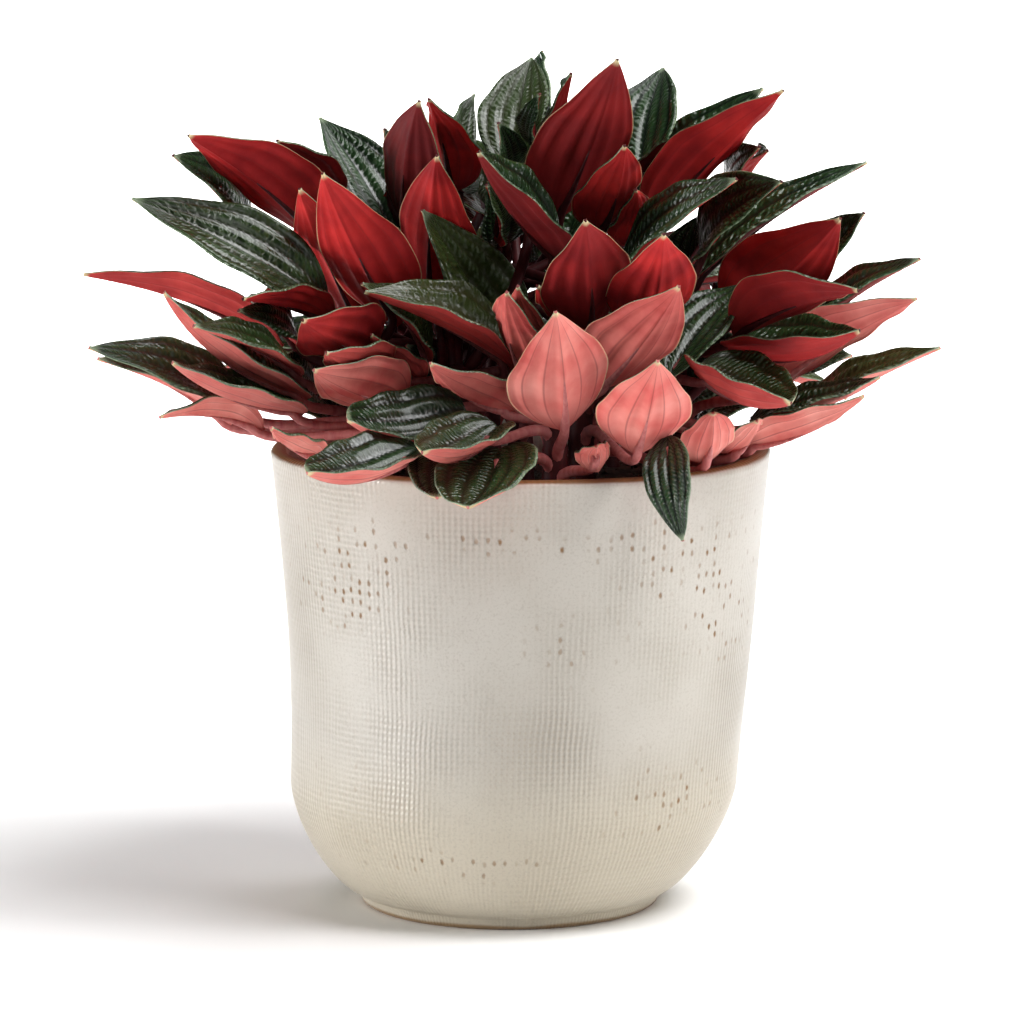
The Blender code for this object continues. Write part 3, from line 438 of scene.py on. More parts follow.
paint_wrap(stoneware_pot, len(pot_height), POT_COLUMNS, pot_height)
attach(stoneware_pot, "root")
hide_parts("pot")
print("pot faces", len(stoneware_pot.data.polygons))

# %% [markdown]
# ## Soil
#
# Potting soil is dark peat with coarse crumbs. It lies in a low mound and little of it shows between the
# stems. A revolved grid gives the mound, with small lumps from a few crossed waves. Loose crumbs are
# scattered on it, each a little eight-sided lump, and all of them are one mesh.

# %% Soil material
soil_finish, soil_shader = new_material("peat potting soil", Roughness=0.95)
place = add_node(soil_finish, "ShaderNodeTexCoord", {}, output="Object")
lumps = add_node(soil_finish, "ShaderNodeTexNoise", {"Vector": place, "Scale": 260.0, "Detail": 4.0})
inputs = {0: lumps, 6: linear("#120C08"), 7: linear("#3A2A1C")}
colour = add_node(soil_finish, "ShaderNodeMix", inputs, output=2, data_type="RGBA")
soil_finish.node_tree.links.new(colour, soil_shader.inputs["Base Color"])
bump = {"Height": lumps, "Strength": 0.9, "Distance": 0.0012}
bump = add_node(soil_finish, "ShaderNodeBump", bump)
soil_finish.node_tree.links.new(bump, soil_shader.inputs["Normal"])

# %% Build the mound and its crumbs
GAP = 0.4
SOIL_EDGE = 116.0
SOIL_CROWN = 119.5
SOIL_COLUMNS = 128
SOIL_LUMPS = 0.7
CRUMBS = 420
CRUMB_RADIUS = (0.5, 1.3)
CRUMB_EDGE_ROOM = 2.0
CRUMB_SEED = 5
# The eight-sided lump: its six corners and eight faces
LUMP_CORNERS = np.array(((1, 0, 0), (-1, 0, 0), (0, 1, 0), (0, -1, 0), (0, 0, 1), (0, 0, -1)), dtype=float)
LUMP_FACES = np.array((
    (0, 2, 4), (2, 1, 4), (1, 3, 4), (3, 0, 4), (2, 0, 5), (1, 2, 5), (3, 1, 5), (0, 3, 5)))


def soil_height(radius):
    """Height of the mound at a radius: a parabola from SOIL_CROWN in the middle to SOIL_EDGE."""
    edge = float(pot_inner_radius(SOIL_EDGE))
    return SOIL_EDGE + (SOIL_CROWN - SOIL_EDGE) * (1.0 - (radius / edge) ** 2.0)


def lumpy(x, y):
    """Small lumps at a place: the product of three crossed waves about 6 mm long."""
    return np.sin(x * 1.1 + 2.0 * np.sin(y * 0.3)) * np.sin(y * 1.0 + 1.7 * np.sin(x * 0.4)) * np.sin(x - y)


side_heights = np.linspace(FLOOR + GAP, SOIL_EDGE, 24)
side_radius = pot_inner_radius(side_heights) - GAP
side_radius[0] = FLOOR_RADIUS - GAP
top_radius = np.linspace(side_radius[-1], 0.01, 30)[1:]
soil_radius = np.concatenate(((0.01,), side_radius, top_radius))
soil_heights = np.concatenate(((FLOOR + GAP,), side_heights, soil_height(top_radius)))
soil_points = revolved(soil_radius, soil_heights, SOIL_COLUMNS)
on_top = np.arange(len(soil_radius))[:, None] > len(side_heights)
lumps_here = SOIL_LUMPS * lumpy(soil_points[..., 0], soil_points[..., 1])
soil_points[..., 2] += np.where(on_top, lumps_here, 0.0)
soil_caps = np.arange(SOIL_COLUMNS)
soil_mound = mesh_object(
    "soil_mound", soil_points.reshape(-1, 3), grid_faces(len(soil_radius), SOIL_COLUMNS), [soil_finish],
    caps=[soil_caps[::-1], soil_caps + (len(soil_radius) - 1) * SOIL_COLUMNS])

draw = np.random.default_rng(CRUMB_SEED)
crumb_turn = draw.uniform(0.0, math.tau, CRUMBS)
crumb_out = np.sqrt(draw.uniform(0.0, 1.0, CRUMBS)) * (side_radius[-1] - CRUMB_EDGE_ROOM)
crumb_size = draw.uniform(*CRUMB_RADIUS, (CRUMBS, 1, 3))
crumb_middle = np.column_stack((
    crumb_out * np.cos(crumb_turn) + SWAY, crumb_out * np.sin(crumb_turn), soil_height(crumb_out)))
crumb_corners = crumb_middle[:, None] + LUMP_CORNERS * crumb_size
crumb_faces = LUMP_FACES + 6 * np.arange(CRUMBS)[:, None, None]
soil_crumbs = mesh_object(
    "soil_crumbs", crumb_corners.reshape(-1, 3), crumb_faces.reshape(-1, 3), [soil_finish])
for thing in (soil_mound, soil_crumbs):
    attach(thing, "root")
    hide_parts("soil")
print("crumbs", CRUMBS)

# %% [markdown]
# ## Where the leaves stand
#
# A plant is best placed before it is made. Every leaf that the picture shows is a row in a table: where
# its tip and its base are seen, how deep it lies, how it faces the camera, and how wide and long it is.
# The leaves at the back can't be seen, so a seeded rule stands them in arcs. A second table fills the
# shade between the leaves, where the stalks leave room.
#
# A leaf is one blade on one stalk. Real leaves push each other aside as they grow, so each blade is moved
# a few millimetres until it is clear of the rest, and each stalk bends until its way is free. A coarse
# blade and a coarse stalk are enough to test for that.

# %% The leaves in the picture
LEAF_THICKNESS = 0.9
RIDGE = 0.8
EDGE_WAVE = 0.55
EDGE_WAVES = 3.0
WIDEST = 0.72
FOLDED_SHARE = 0.92
END_WIDTH = 0.5
BASE_EXTRA = 0.8
BLADE_ROWS = (0.2, 0.48, 0.78)
SMALL_BLADE_ROWS = (0.26, 0.66)
SMALL_BLADE = 45.0
BLADE_COLUMNS = (-1.0, -0.5, 0.0, 0.5, 1.0)

Leaf = namedtuple(
    "Leaf", "tip_px base_px depth lean face width length bow fold power", defaults=(0.42, 0.9))
Blade = namedtuple("Blade", "base tip normal width bow fold power phase")

# The nearest leaves first. tip_px and base_px are pixels in the picture, depth is the base's place along
# Y, lean is -1 for a tip nearer than the base and 1 for one further, and face is 1 for a blade seen
# square from its green top, -1 from its red back and near 0 on edge.
SEEN_LEAVES = (
    # Over and just behind the front of the rim
    Leaf((683, 541), (668, 436), -61, -1, 0.95, 15, 32, 4, 0.3, 0.8),
    Leaf((596, 446), (597, 470), -62, -1, -0.95, 11, 9, 1, 0.5, 0.6),
    Leaf((468, 508), (500, 448), -64, -1, 0.8, 31, 34, -3, 0.35, 0.5),
    Leaf((437, 498), (452, 446), -60, -1, 0.9, 22, 28, 1, 0.2, 0.5),
    Leaf((307, 474), (419, 449), -50, -1, 0.4, 27, 38, -5, 0.6, 0.55),
    Leaf((556, 313), (564, 429), -56, -1, -0.97, 31, 44, -3),
    Leaf((658, 362), (636, 453), -58, -1, -0.97, 28, 40, -3),
    Leaf((713, 413), (704, 462), -44, -1, -0.9, 18, 20, -2, 0.4, 0.6),
    Leaf((757, 421), (728, 452), -36, -1, -0.35, 16, 20, -2, 0.5, 0.6),
    Leaf((422, 453), (498, 426), -60, -1, 0.42, 26, 31, -5, 0.6, 0.55),
    Leaf((864, 397), (740, 446), -30, -1, -0.4, 19, 40, -3),
    Leaf((347, 421), (468, 416), -52, -1, 0.5, 30, 38, -6, 0.55, 0.5),
    Leaf((430, 364), (514, 410), -44, -1, -0.45, 24, 34, -3),
    # Middle of the front
    Leaf((679, 288), (600, 388), -40, -1, -0.85, 28, 52, -2),
    Leaf((586, 222), (590, 328), -36, -1, -0.97, 28, 54, -3),
    Leaf((664, 236), (645, 332), -34, -1, -0.95, 27, 54, -3),
    Leaf((791, 404), (695, 368), -42, -1, 0.3, 30, 36, -4, 0.7, 0.55),
    Leaf((506, 293), (527, 377), -32, -1, -0.6, 24, 40, -2),
    Leaf((517, 287), (547, 372), -26, -1, -0.5, 20, 40, -2),
    Leaf((537, 287), (604, 345), -28, -1, -0.55, 22, 42, -2),
    Leaf((364, 293), (514, 366), -28, -1, 0.32, 30, 54, 2, 0.65),
    Leaf((860, 332), (725, 348), -30, -1, 0.2, 27, 46, -5, 0.75),
    Leaf((880, 378), (750, 420), -24, -1, 0.3, 20, 40, -2),
    Leaf((750, 285), (668, 378), -42, 1, 0.75, 23, 46, 3),
    Leaf((314, 371), (402, 402), -36, -1, -0.7, 27, 36, -2),
    Leaf((326, 353), (384, 368), -30, -1, -0.5, 22, 30, -2),
    Leaf((303, 321), (372, 352), -24, -1, -0.8, 28, 38, -2),
    Leaf((371, 335), (420, 380), -30, -1, -0.5, 16, 28, -2),
    Leaf((361, 284), (430, 360), -16, -1, 0.4, 20, 44, 3),
    # Right side
    Leaf((858, 292), (735, 334), -22, -1, -0.55, 27, 52, 3),
    Leaf((840, 220), (730, 318), -16, -1, -0.9, 30, 58, -2),
    Leaf((738, 180), (620, 270), -20, -1, 0.45, 23, 54, 2),
    Leaf((868, 164), (690, 283), -8, 0, 0.4, 22, 60, 3),
    Leaf((941, 349), (790, 427), -14, -1, 0.3, 21, 52, 2),
    Leaf((917, 300), (770, 387), -16, -1, -0.6, 26, 54, 2),
    Leaf((921, 260), (795, 348), -4, -1, 0.3, 20, 50, 3),
    Leaf((865, 213), (815, 290), 2, -1, 0.6, 20, 40, 2),
    Leaf((783, 182), (700, 252), -6, -1, 0.6, 26, 50, 3),
    Leaf((784, 92), (650, 227), 4, -1, -0.6, 27, 60, 2),
    Leaf((764, 89), (650, 222), 14, 0, 0.6, 28, 56, 2),
    Leaf((713, 126), (650, 197), 20, -1, -0.4, 20, 44, 2),
    Leaf((760, 147), (728, 202), 16, -1, 0.3, 18, 38, 2),
    Leaf((768, 151), (740, 200), 10, -1, -0.3, 18, 38, 2),
    # Left side
    Leaf((322, 175), (398, 324), -20, -1, -0.9, 28, 58, -2),
    Leaf((421, 210), (512, 356), -26, -1, 0.85, 26, 52, 2),
    Leaf((131, 200), (328, 303), -18, 0, 0.75, 26, 62, 3),
    Leaf((163, 294), (310, 396), -28, -1, 0.18, 24, 54, -5, 0.6),
    Leaf((172, 364), (305, 411), -30, -1, 0.18, 21, 48, -3, 0.6),
    Leaf((88, 349), (247, 413), -22, -1, 0.6, 23, 54, 3),
    Leaf((271, 428), (322, 454), -40, -1, -0.35, 14, 24, -2),
    Leaf((83, 276), (283, 347), -10, 0, -0.35, 20, 60, 4),
    Leaf((193, 327), (300, 374), -18, -1, 0.3, 18, 42, 2),
    Leaf((97, 360), (230, 424), -12, -1, 0.35, 20, 50, 3),
    Leaf((160, 418), (262, 430), -22, -1, -0.35, 16, 40, 3),
    Leaf((243, 300), (330, 322), -10, -1, -0.4, 18, 40, 2),
    Leaf((238, 311), (300, 347), -6, -1, 0.5, 16, 34, 2),
    Leaf((299, 190), (368, 336), -8, -1, -0.85, 27, 54, -2),
    Leaf((188, 137), (322, 240), 0, -1, -0.7, 29, 56, 3),
    Leaf((277, 141), (330, 208), 8, -1, -0.6, 19, 44, 2),
    Leaf((172, 156), (250, 232), 12, -1, 0.5, 24, 46, 3),
    # Top, from the middle outward and back
    Leaf((477, 153), (562, 262), -14, -1, 0.12, 27, 52, -2, 0.75),
    Leaf((625, 147), (600, 230), -10, -1, -0.8, 22, 46, -2),
    Leaf((436, 157), (432, 300), 2, -1, -0.9, 27, 56, -2),
    Leaf((618, 61), (557, 217), 4, -1, -0.9, 31, 60, -3),
    Leaf((486, 185), (498, 240), 2, -1, 0.4, 14, 26, 2),
    Leaf((498, 123), (500, 180), 8, -1, 0.5, 14, 32, 2),
    Leaf((540, 94), (536, 150), 8, -1, 0.5, 10, 30, 2),
    Leaf((540, 140), (516, 192), 12, 1, 0.7, 16, 30, 2),
    Leaf((636, 190), (628, 244), -2, -1, -0.7, 16, 34, -2),
    Leaf((645, 172), (640, 208), 6, 1, 0.8, 12, 20, 2),
    Leaf((532, 59), (514, 172), 8, 1, 0.9, 23, 48, 3),
    Leaf((664, 69), (640, 184), 16, 1, 0.85, 26, 46, 3),
    Leaf((319, 119), (404, 257), 6, 1, 0.8, 26, 52, 3),
    Leaf((418, 102), (407, 230), 14, -1, -0.8, 27, 52, -3),
    Leaf((428, 100), (452, 190), 22, -1, -0.6, 21, 46, 2),
    Leaf((473, 95), (462, 190), 18, 1, 0.5, 20, 44, -4),
    Leaf((397, 121), (388, 196), 12, -1, -0.3, 18, 36, 2),
    Leaf((384, 129), (378, 190), 26, -1, 0.25, 16, 34, 2),
    Leaf((572, 74), (566, 160), 20, -1, -0.3, 18, 42, 2),
    Leaf((543, 52), (552, 150), 28, 1, 0.6, 25, 48, 3),
    Leaf((494, 100), (492, 150), 24, -1, -0.6, 12, 30, 2),
)

# Leaves in the shade between the others, which take what room the stalks leave
SHADE_LEAVES = (
    Leaf((488, 180), (497, 250), 26, -1, 0.8, 24, 34, 2),
    Leaf((575, 190), (560, 262), 30, -1, 0.8, 24, 34, 2),
    Leaf((530, 225), (540, 285), 30, -1, 0.8, 24, 34, 2),
    Leaf((452, 250), (462, 312), 24, -1, -0.8, 24, 34, 2),
    Leaf((500, 270), (512, 335), 26, -1, 0.8, 24, 34, 2),
    Leaf((700, 215), (690, 275), 24, -1, 0.8, 22, 32, 2),
    Leaf((735, 240), (715, 290), 26, -1, 0.8, 22, 34, 2),
    Leaf((452, 325), (506, 402), 12, -1, 0.7, 26, 42, 2),
    Leaf((406, 345), (462, 416), 4, -1, 0.7, 28, 40, 2),
    Leaf((640, 320), (632, 380), 10, -1, 0.8, 24, 34, 2),
    Leaf((690, 310), (665, 368), 14, -1, 0.8, 24, 34, 2),
    Leaf((780, 358), (684, 400), 8, -1, 0.6, 30, 44, 2),
    Leaf((740, 370), (700, 410), 10, -1, 0.7, 24, 34, 2),
    Leaf((775, 398), (680, 426), 0, -1, 0.6, 26, 44, 2),
    Leaf((828, 322), (735, 350), 6, -1, 0.6, 26, 46, 2),
    Leaf((852, 356), (762, 394), 4, -1, 0.5, 26, 42, 2),
    Leaf((820, 365), (780, 395), 6, -1, 0.7, 22, 34, 2),
    Leaf((258, 392), (362, 440), 4, -1, 0.5, 28, 46, 2),
    Leaf((262, 375), (320, 400), 10, -1, 0.7, 22, 34, 2),
    Leaf((282, 400), (330, 425), 0, -1, 0.7, 22, 34, 2),
    Leaf((322, 270), (365, 322), 18, -1, 0.7, 24, 34, 2),
)
print("leaves in the picture", len(SEEN_LEAVES))

# %% [markdown]
# A pixel and a depth give one point in space: the ray from the camera through that pixel is followed to
# the upright plane at that depth. Two such points are the blade's ends. How far it leans towards the
# camera or away comes from its real length, which is longer than what the picture shows of it.

# %% From a pixel to a blade
PHASE_STEP = 1.7
INWARD_LEAN = 0.01


def unit(vectors):
    """The same directions, each one long."""
    return vectors / np.linalg.norm(vectors, axis=-1, keepdims=True)


def seen(pixel, depth):
    """Point in millimetres that the picture shows at a pixel, on the upright plane y = depth."""
    across = (pixel[0] - PICTURE_CENTRE) / PIXELS_PER_RADIAN
    down = (pixel[1] - PICTURE_CENTRE) / PIXELS_PER_RADIAN
    ray = np.array((
        across,
        math.cos(PITCH) - down * math.sin(PITCH),
        -math.sin(PITCH) - down * math.cos(PITCH),
    ))
    return CAMERA + ray * ((depth - CAMERA[1]) / ray[1])


def seen_blade(leaf, index, base_shift=0.0, tip_shift=0.0):
    """Blade of a leaf in the photograph, its base and tip moved along Y by the shifts."""
    depth = leaf.depth + base_shift
    base = seen(leaf.base_px, depth)
    flat_length = np.linalg.norm(seen(leaf.tip_px, depth) - base)
    reach = math.sqrt(max(leaf.length ** 2 - flat_length ** 2, 0.0))
    tip = seen(leaf.tip_px, depth + leaf.lean * reach + tip_shift)
    along = unit(tip - base)
    middle = (tip + base) / 2.0
    to_camera = CAMERA - middle
    to_camera = unit(to_camera - along * (to_camera @ along))
    sideways = np.cross(along, to_camera)
    if sideways @ (UP - INWARD_LEAN * middle * (1.0, 1.0, 0.0)) < 0.0:
        sideways = -sideways
    normal = to_camera * leaf.face + sideways * math.sqrt(1.0 - leaf.face ** 2)
    return Blade(base, tip, normal, leaf.width, leaf.bow, leaf.fold, leaf.power, index * PHASE_STEP)


print("first blade", seen_blade(SEEN_LEAVES[0], 0).tip.round(1))

# %% The hidden leaves at the back
# Arcs of leaves: how many, how far out and how high their bases are, and how many degrees they rise
Tier = namedtuple("Tier", "count out height rise")
BACK_TIERS = (
    Tier(11, 54.0, 147.0, -9.0),
    Tier(9, 43.0, 168.0, -6.0),
    Tier(7, 30.0, 186.0, 14.0),
    Tier(5, 18.0, 172.0, 52.0),
)
BACK_MIDDLE = 90.0
BACK_SPREAD = 128.0
BACK_STAGGER = 5.0
BACK_TURNS = (0.0, 5.0, -5.0, 10.0, -10.0, 15.0, -15.0)
BACK_LENGTH = 55.0
BACK_WIDTH = 25.0
BACK_BOW = 4.0
BACK_FOLD = 0.42
BACK_POWER = 0.9
TURN_NOISE = 4.0
RISE_NOISE = 6.0
LENGTH_NOISE = 4.0
ROLL_NOISE = 0.35
SEED = 7


def back_blade(tier, number, draw, extra_turn):
    """Blade of one of the hidden leaves, which stand in arcs round the back."""
    step = BACK_SPREAD / tier.count
    turn = BACK_MIDDLE - BACK_SPREAD / 2.0 + step * (number + 0.5) + extra_turn
    turn = math.radians(turn + draw.uniform(-TURN_NOISE, TURN_NOISE))
    rise = math.radians(tier.rise + draw.uniform(-RISE_NOISE, RISE_NOISE))
    length = BACK_LENGTH + draw.uniform(-LENGTH_NOISE, LENGTH_NOISE)
    roll = draw.uniform(-ROLL_NOISE, ROLL_NOISE)
    outward = np.array((math.cos(turn), math.sin(turn), 0.0))
    base = outward * tier.out + (sway(POT_HEIGHT), 0.0, tier.height + BACK_STAGGER * (number % 2))
    along = outward * math.cos(rise) + UP * math.sin(rise)
    normal = UP * math.cos(rise) - outward * math.sin(rise)
    normal = normal * math.cos(roll) + np.cross(normal, along) * math.sin(roll)
    tip = base + along * length
    return Blade(base, tip, normal, BACK_WIDTH, BACK_BOW, BACK_FOLD, BACK_POWER, number + tier.rise)


# %% [markdown]
# The coarse blade is a bowed chord with two halves that fold up from it. Each half has one ridge and a
# waved edge. The formula works on whole arrays of places along and across the blade, so the fine blade
# can start from it later.

# %% Coarse blades


def blade_half_width(part, width, power):
    """Half the blade's width: sin(pi s^0.72)^power, widest at 0.38 of the length, with narrow ends."""
    swell = np.sin(math.pi * part ** WIDEST)
    return np.maximum(width / 2.0 * np.maximum(swell, 0.0) ** power, END_WIDTH + BASE_EXTRA * (1.0 - part))


def blade_surface(blade, part, column):
    """Points on the blade's top, from arrays of places along it, 0 to 1, and across it, -1 to 1.

    A bowed chord carries two halves that fold up from it, with a ridge along each and a waved edge.
    """
    along = blade.tip - blade.base
    side = unit(np.cross(blade.normal, along))
    half = blade_half_width(part, blade.width, blade.power)
    fold = blade.fold * half * abs(column)
    ridge = RIDGE * np.sin(math.pi * abs(column)) * np.sin(math.pi * part)
    wave = EDGE_WAVE * column * abs(column) * np.sin(EDGE_WAVES * math.tau * part + blade.phase)
    lift = blade.bow * 4.0 * part * (1.0 - part) + fold + ridge + wave * np.sin(math.pi * part)
    across = column * half * FOLDED_SHARE
    return blade.base + np.outer(part, along) + np.outer(across, side) + np.outer(lift, blade.normal)


def blade_rows(blade):
    """Places along the blade of its cross rows, fewer on a small one."""
    return SMALL_BLADE_ROWS if np.linalg.norm(blade.tip - blade.base) < SMALL_BLADE else BLADE_ROWS


@lru_cache
def blade_faces(rows, columns):
    """Triangles of a closed blade with so many cross rows, split alike on its top and its back."""
    under = rows * columns + 2
    tip = under - 1
    last = 1 + (rows - 1) * columns
    upper = []
    for column in range(columns - 1):
        upper += [(0, 1 + column, 2 + column), (last + column, tip, last + column + 1)]
        for row in range(rows - 1):
            a = 1 + row * columns + column
            b, c, d = a + 1, a + columns + 1, a + columns
            upper += ((a, b, c), (a, c, d)) if column < columns // 2 else ((a, b, d), (b, c, d))
    triangles = upper + [tuple(under + corner for corner in reversed(face)) for face in upper]
    right = [1 + row * columns + columns - 1 for row in range(rows)]
    left = [1 + row * columns for row in reversed(range(rows))]
    ring = [0] + right + [tip] + left
    for here, there in zip(ring, ring[1:] + ring[:1]):
        triangles += [(there, here, under + here), (there, under + here, under + there)]
    return triangles


def blade_mesh(blade, grow=0.0):
    """Corners and triangles of a closed blade. grow thickens it on both faces."""
    rows = blade_rows(blade)
    part = np.concatenate(([0.0], np.repeat(rows, len(BLADE_COLUMNS)), [1.0]))
    column = np.concatenate(([0.0], np.tile(BLADE_COLUMNS, len(rows)), [0.0]))
    top = blade_surface(blade, part, column)
    corners = np.vstack([top + blade.normal * grow, top - blade.normal * (LEAF_THICKNESS + grow)])
    return corners, blade_faces(len(rows), len(BLADE_COLUMNS))


# %% Coarse stems and stalks
STALK_RADIUS = 1.5
STALK_SIDES = 3
STALK_STEPS = 3
STALK_FACING = (0.3, 1.0, 0.2)
STALK_RISE = 0.45
STALK_ALONG = 0.22
STALK_DROP = 0.16
ROOT_IN_BLADE = 4.5
ROOT_SUNK = 0.75
STEM_BOTTOM = 104.0
STEM_RADIUS = 4.6
STEM_TOP_RADIUS = 3.2
STEM_SIDES = 6
FIRST_NODE = 122.5
NODE_SPACING = 3.1
RING_OF_STEMS = ((0.0, 1, 0.0), (24.0, 4, 45.0), (45.0, 8, 12.0))


def stalk_lines(blade, root, bends, steps):
    """Middle lines of a stalk, one for each pair of bends: cubic curves from the stem's side to a little
    way under the blade."""
    chord = blade.tip - blade.base
    part = ROOT_IN_BLADE / np.linalg.norm(chord)
    first_row = blade_rows(blade)[0]
    at_row = blade_surface(blade, np.array([first_row]), np.zeros(1))[0]
    end = blade.base + (at_row - blade.base) * (part / first_row)
    end -= blade.normal * (ROOT_SUNK * LEAF_THICKNESS)
    reach = np.linalg.norm(end - root)
    first = root + UP * (reach * STALK_RISE) + bends[:, :1]
    second = end - unit(chord) * (reach * STALK_ALONG) - UP * (reach * STALK_DROP) + bends[:, 1:]
    t = np.linspace(0.0, 1.0, steps + 1)[:, None]
    u = 1.0 - t
    return root * u ** 3 + first * 3.0 * u * u * t + second * 3.0 * u * t * t + end * t ** 3


def tube_corners(lines, radius, sides):
    """Corners of the rings round each of several lines. A ring stands square to its line's way there."""
    tangents = unit(np.gradient(lines, axis=1))
    across = unit(np.cross(lines[:, -1] - lines[:, 0], STALK_FACING))[:, None]
    first = unit(across - tangents * np.sum(tangents * across, axis=-1, keepdims=True))
    second = np.cross(tangents, first)
    angle = math.tau * np.arange(sides)[:, None] / sides
    rings = first[:, :, None] * np.cos(angle) + second[:, :, None] * np.sin(angle)
    return (lines[:, :, None] + rings * radius).reshape(len(lines), -1, 3)


@lru_cache
def tube_faces(rings, sides):
    """Triangles of a closed tube, its two ends filled."""
    triangles = []
    for ring in range(rings - 1):
        for side in range(sides):
            a = ring * sides + side
            b = ring * sides + (side + 1) % sides
            triangles += [(a, b, b + sides), (a, b + sides, a + sides)]
    end = (rings - 1) * sides
    for side in range(1, sides - 1):
        triangles += [(0, side + 1, side), (end, end + side, end + side + 1)]
    return triangles


def stem_top(leaves):
    """Height of the top of a stem that carries so many leaves."""
    return FIRST_NODE + NODE_SPACING * leaves + 1.0


def stem_mesh(place, bottom, bottom_radius, top, top_radius):
    """Corners and triangles of an upright tapered stem, or of the hole that one stands in."""
    angle = math.tau * np.arange(STEM_SIDES) / STEM_SIDES
    circle = np.column_stack((np.cos(angle), np.sin(angle), np.zeros(STEM_SIDES)))
    low = circle * bottom_radius + (*place, bottom)
    high = circle * top_radius + (*place, top)
    return np.vstack((low, high)), tube_faces(2, STEM_SIDES)


def stem_places():
    """Middle of each stem in the soil: one in the centre and two rings round it."""
    places = []
    for radius, count, start in RING_OF_STEMS:
        for number in range(count):
            angle = math.radians(start) + math.tau * number / count
            x = sway(POT_HEIGHT) + radius * math.cos(angle)
            places.append((x, radius * math.sin(angle)))
    return places


# %% [markdown]
# Two shapes touch where their triangles cross. A tree of boxes finds that quickly, and one look at the
# boxes round whole pieces leaves only the near ones to ask.

# %% Finding what touches
CLEARANCE = 0.4
SHIFT_STEP = 3.0
SHIFT_STEPS = range(-5, 15)
WIDTH_SHARES = (1.0, 0.85, 0.7)
MOST_TIP_SHIFT = 21.0
TIP_SHIFT_COST = 0.8
FORWARD_COST = 1.5


class Thicket:
    """Everything placed so far, for asking whether a new piece would touch it."""

    def __init__(self):
        self.owners = []
        self.trees = []
        self.lows = np.empty((0, 3))
        self.highs = np.empty((0, 3))

    def add(self, owner, corners, triangles):
        """Keep a piece under its owner's name, with the box round it."""
        self.owners.append(owner)
        self.trees.append(BVHTree.FromPolygons(corners.tolist(), triangles))
        self.lows = np.vstack([self.lows, corners.min(axis=0)])
        self.highs = np.vstack([self.highs, corners.max(axis=0)])

    def touched(self, corners, triangles, ignored=()):
        """Whether the new piece crosses a placed one whose owner isn't ignored."""
        near = (corners.min(axis=0) <= self.highs) & (corners.max(axis=0) >= self.lows)
        near = np.flatnonzero(near.all(axis=1))
        others = [number for number in near if self.owners[number] not in ignored]
        if not others:
            return False
        tree = BVHTree.FromPolygons(corners.tolist(), triangles)
        return any(tree.overlap(self.trees[number]) for number in others)


@lru_cache
def shifts_by_cost():
    """Pairs of base and tip shifts along Y, the smallest first, with moves to the back cheaper."""
    steps = [SHIFT_STEP * number for number in SHIFT_STEPS]
    pairs = [(base, tip) for base in steps for tip in steps if abs(tip) <= MOST_TIP_SHIFT]

    def cost(pair):
        forward = max(-pair[0], 0.0)
        return abs(pair[0]) + TIP_SHIFT_COST * abs(pair[1]) + FORWARD_COST * forward

    return sorted(pairs, key=cost)


def clear_blades(thicket, leaf, index):
    """Blades of a leaf that touch nothing: the full width first, then narrower, with the least shift."""
    for share in WIDTH_SHARES:
        narrowed = leaf._replace(width=leaf.width * share)
        for base_shift, tip_shift in shifts_by_cost():
            blade = seen_blade(narrowed, index, base_shift, tip_shift)
            if not thicket.touched(*blade_mesh(blade, CLEARANCE)):
                yield blade


def place_blades(thicket):
    """Blades moved or narrowed clear of the pot and of each other: seen leaves first, then the hidden ones.
    """
    placed = []
    for index, leaf in enumerate(SEEN_LEAVES):
        blade = next(clear_blades(thicket, leaf, index), None)
        if blade is not None:
            thicket.add(f"blade {len(placed)}", *blade_mesh(blade))
            placed.append(blade)
    draw = random.Random(SEED)
    for tier in BACK_TIERS:
        for number in range(tier.count):
            for extra_turn in BACK_TURNS:
                blade = back_blade(tier, number, draw, extra_turn)
                if not thicket.touched(*blade_mesh(blade, CLEARANCE)):
                    thicket.add(f"blade {len(placed)}", *blade_mesh(blade))
                    placed.append(blade)
                    break
    return placed


# %% Giving each blade its stalk
LEAVES_PER_STEM = 10
ROOT_OFFSET = 1.2
BEND_SIZES = (0.0, 4.0, 8.0, 12.0, 17.0, 23.0, 30.0)
BEND_TURNS = 8
COUNTER_BEND = -0.6
STEMS_TRIED = 9
STEM_PULL = 0.8
SHADE_PLACES = 6
SHADE_STRIDE = 6

Stalk = namedtuple("Stalk", "stem root bend corners")


@lru_cache
def stalk_bends(size):
    """Pairs of sideways bends of one size, for the lower and upper part of a stalk."""
    straight = np.zeros(3)
    if size == 0.0:
        return np.array([(straight, straight)])
    bends = []
    for number in range(BEND_TURNS):
        angle = math.tau * number / BEND_TURNS
        aside = np.array((math.cos(angle) * size, math.sin(angle) * size, 0.0))
        bends += [(aside, aside), (aside, straight), (straight, aside), (aside, aside * COUNTER_BEND)]
    return np.array(bends)


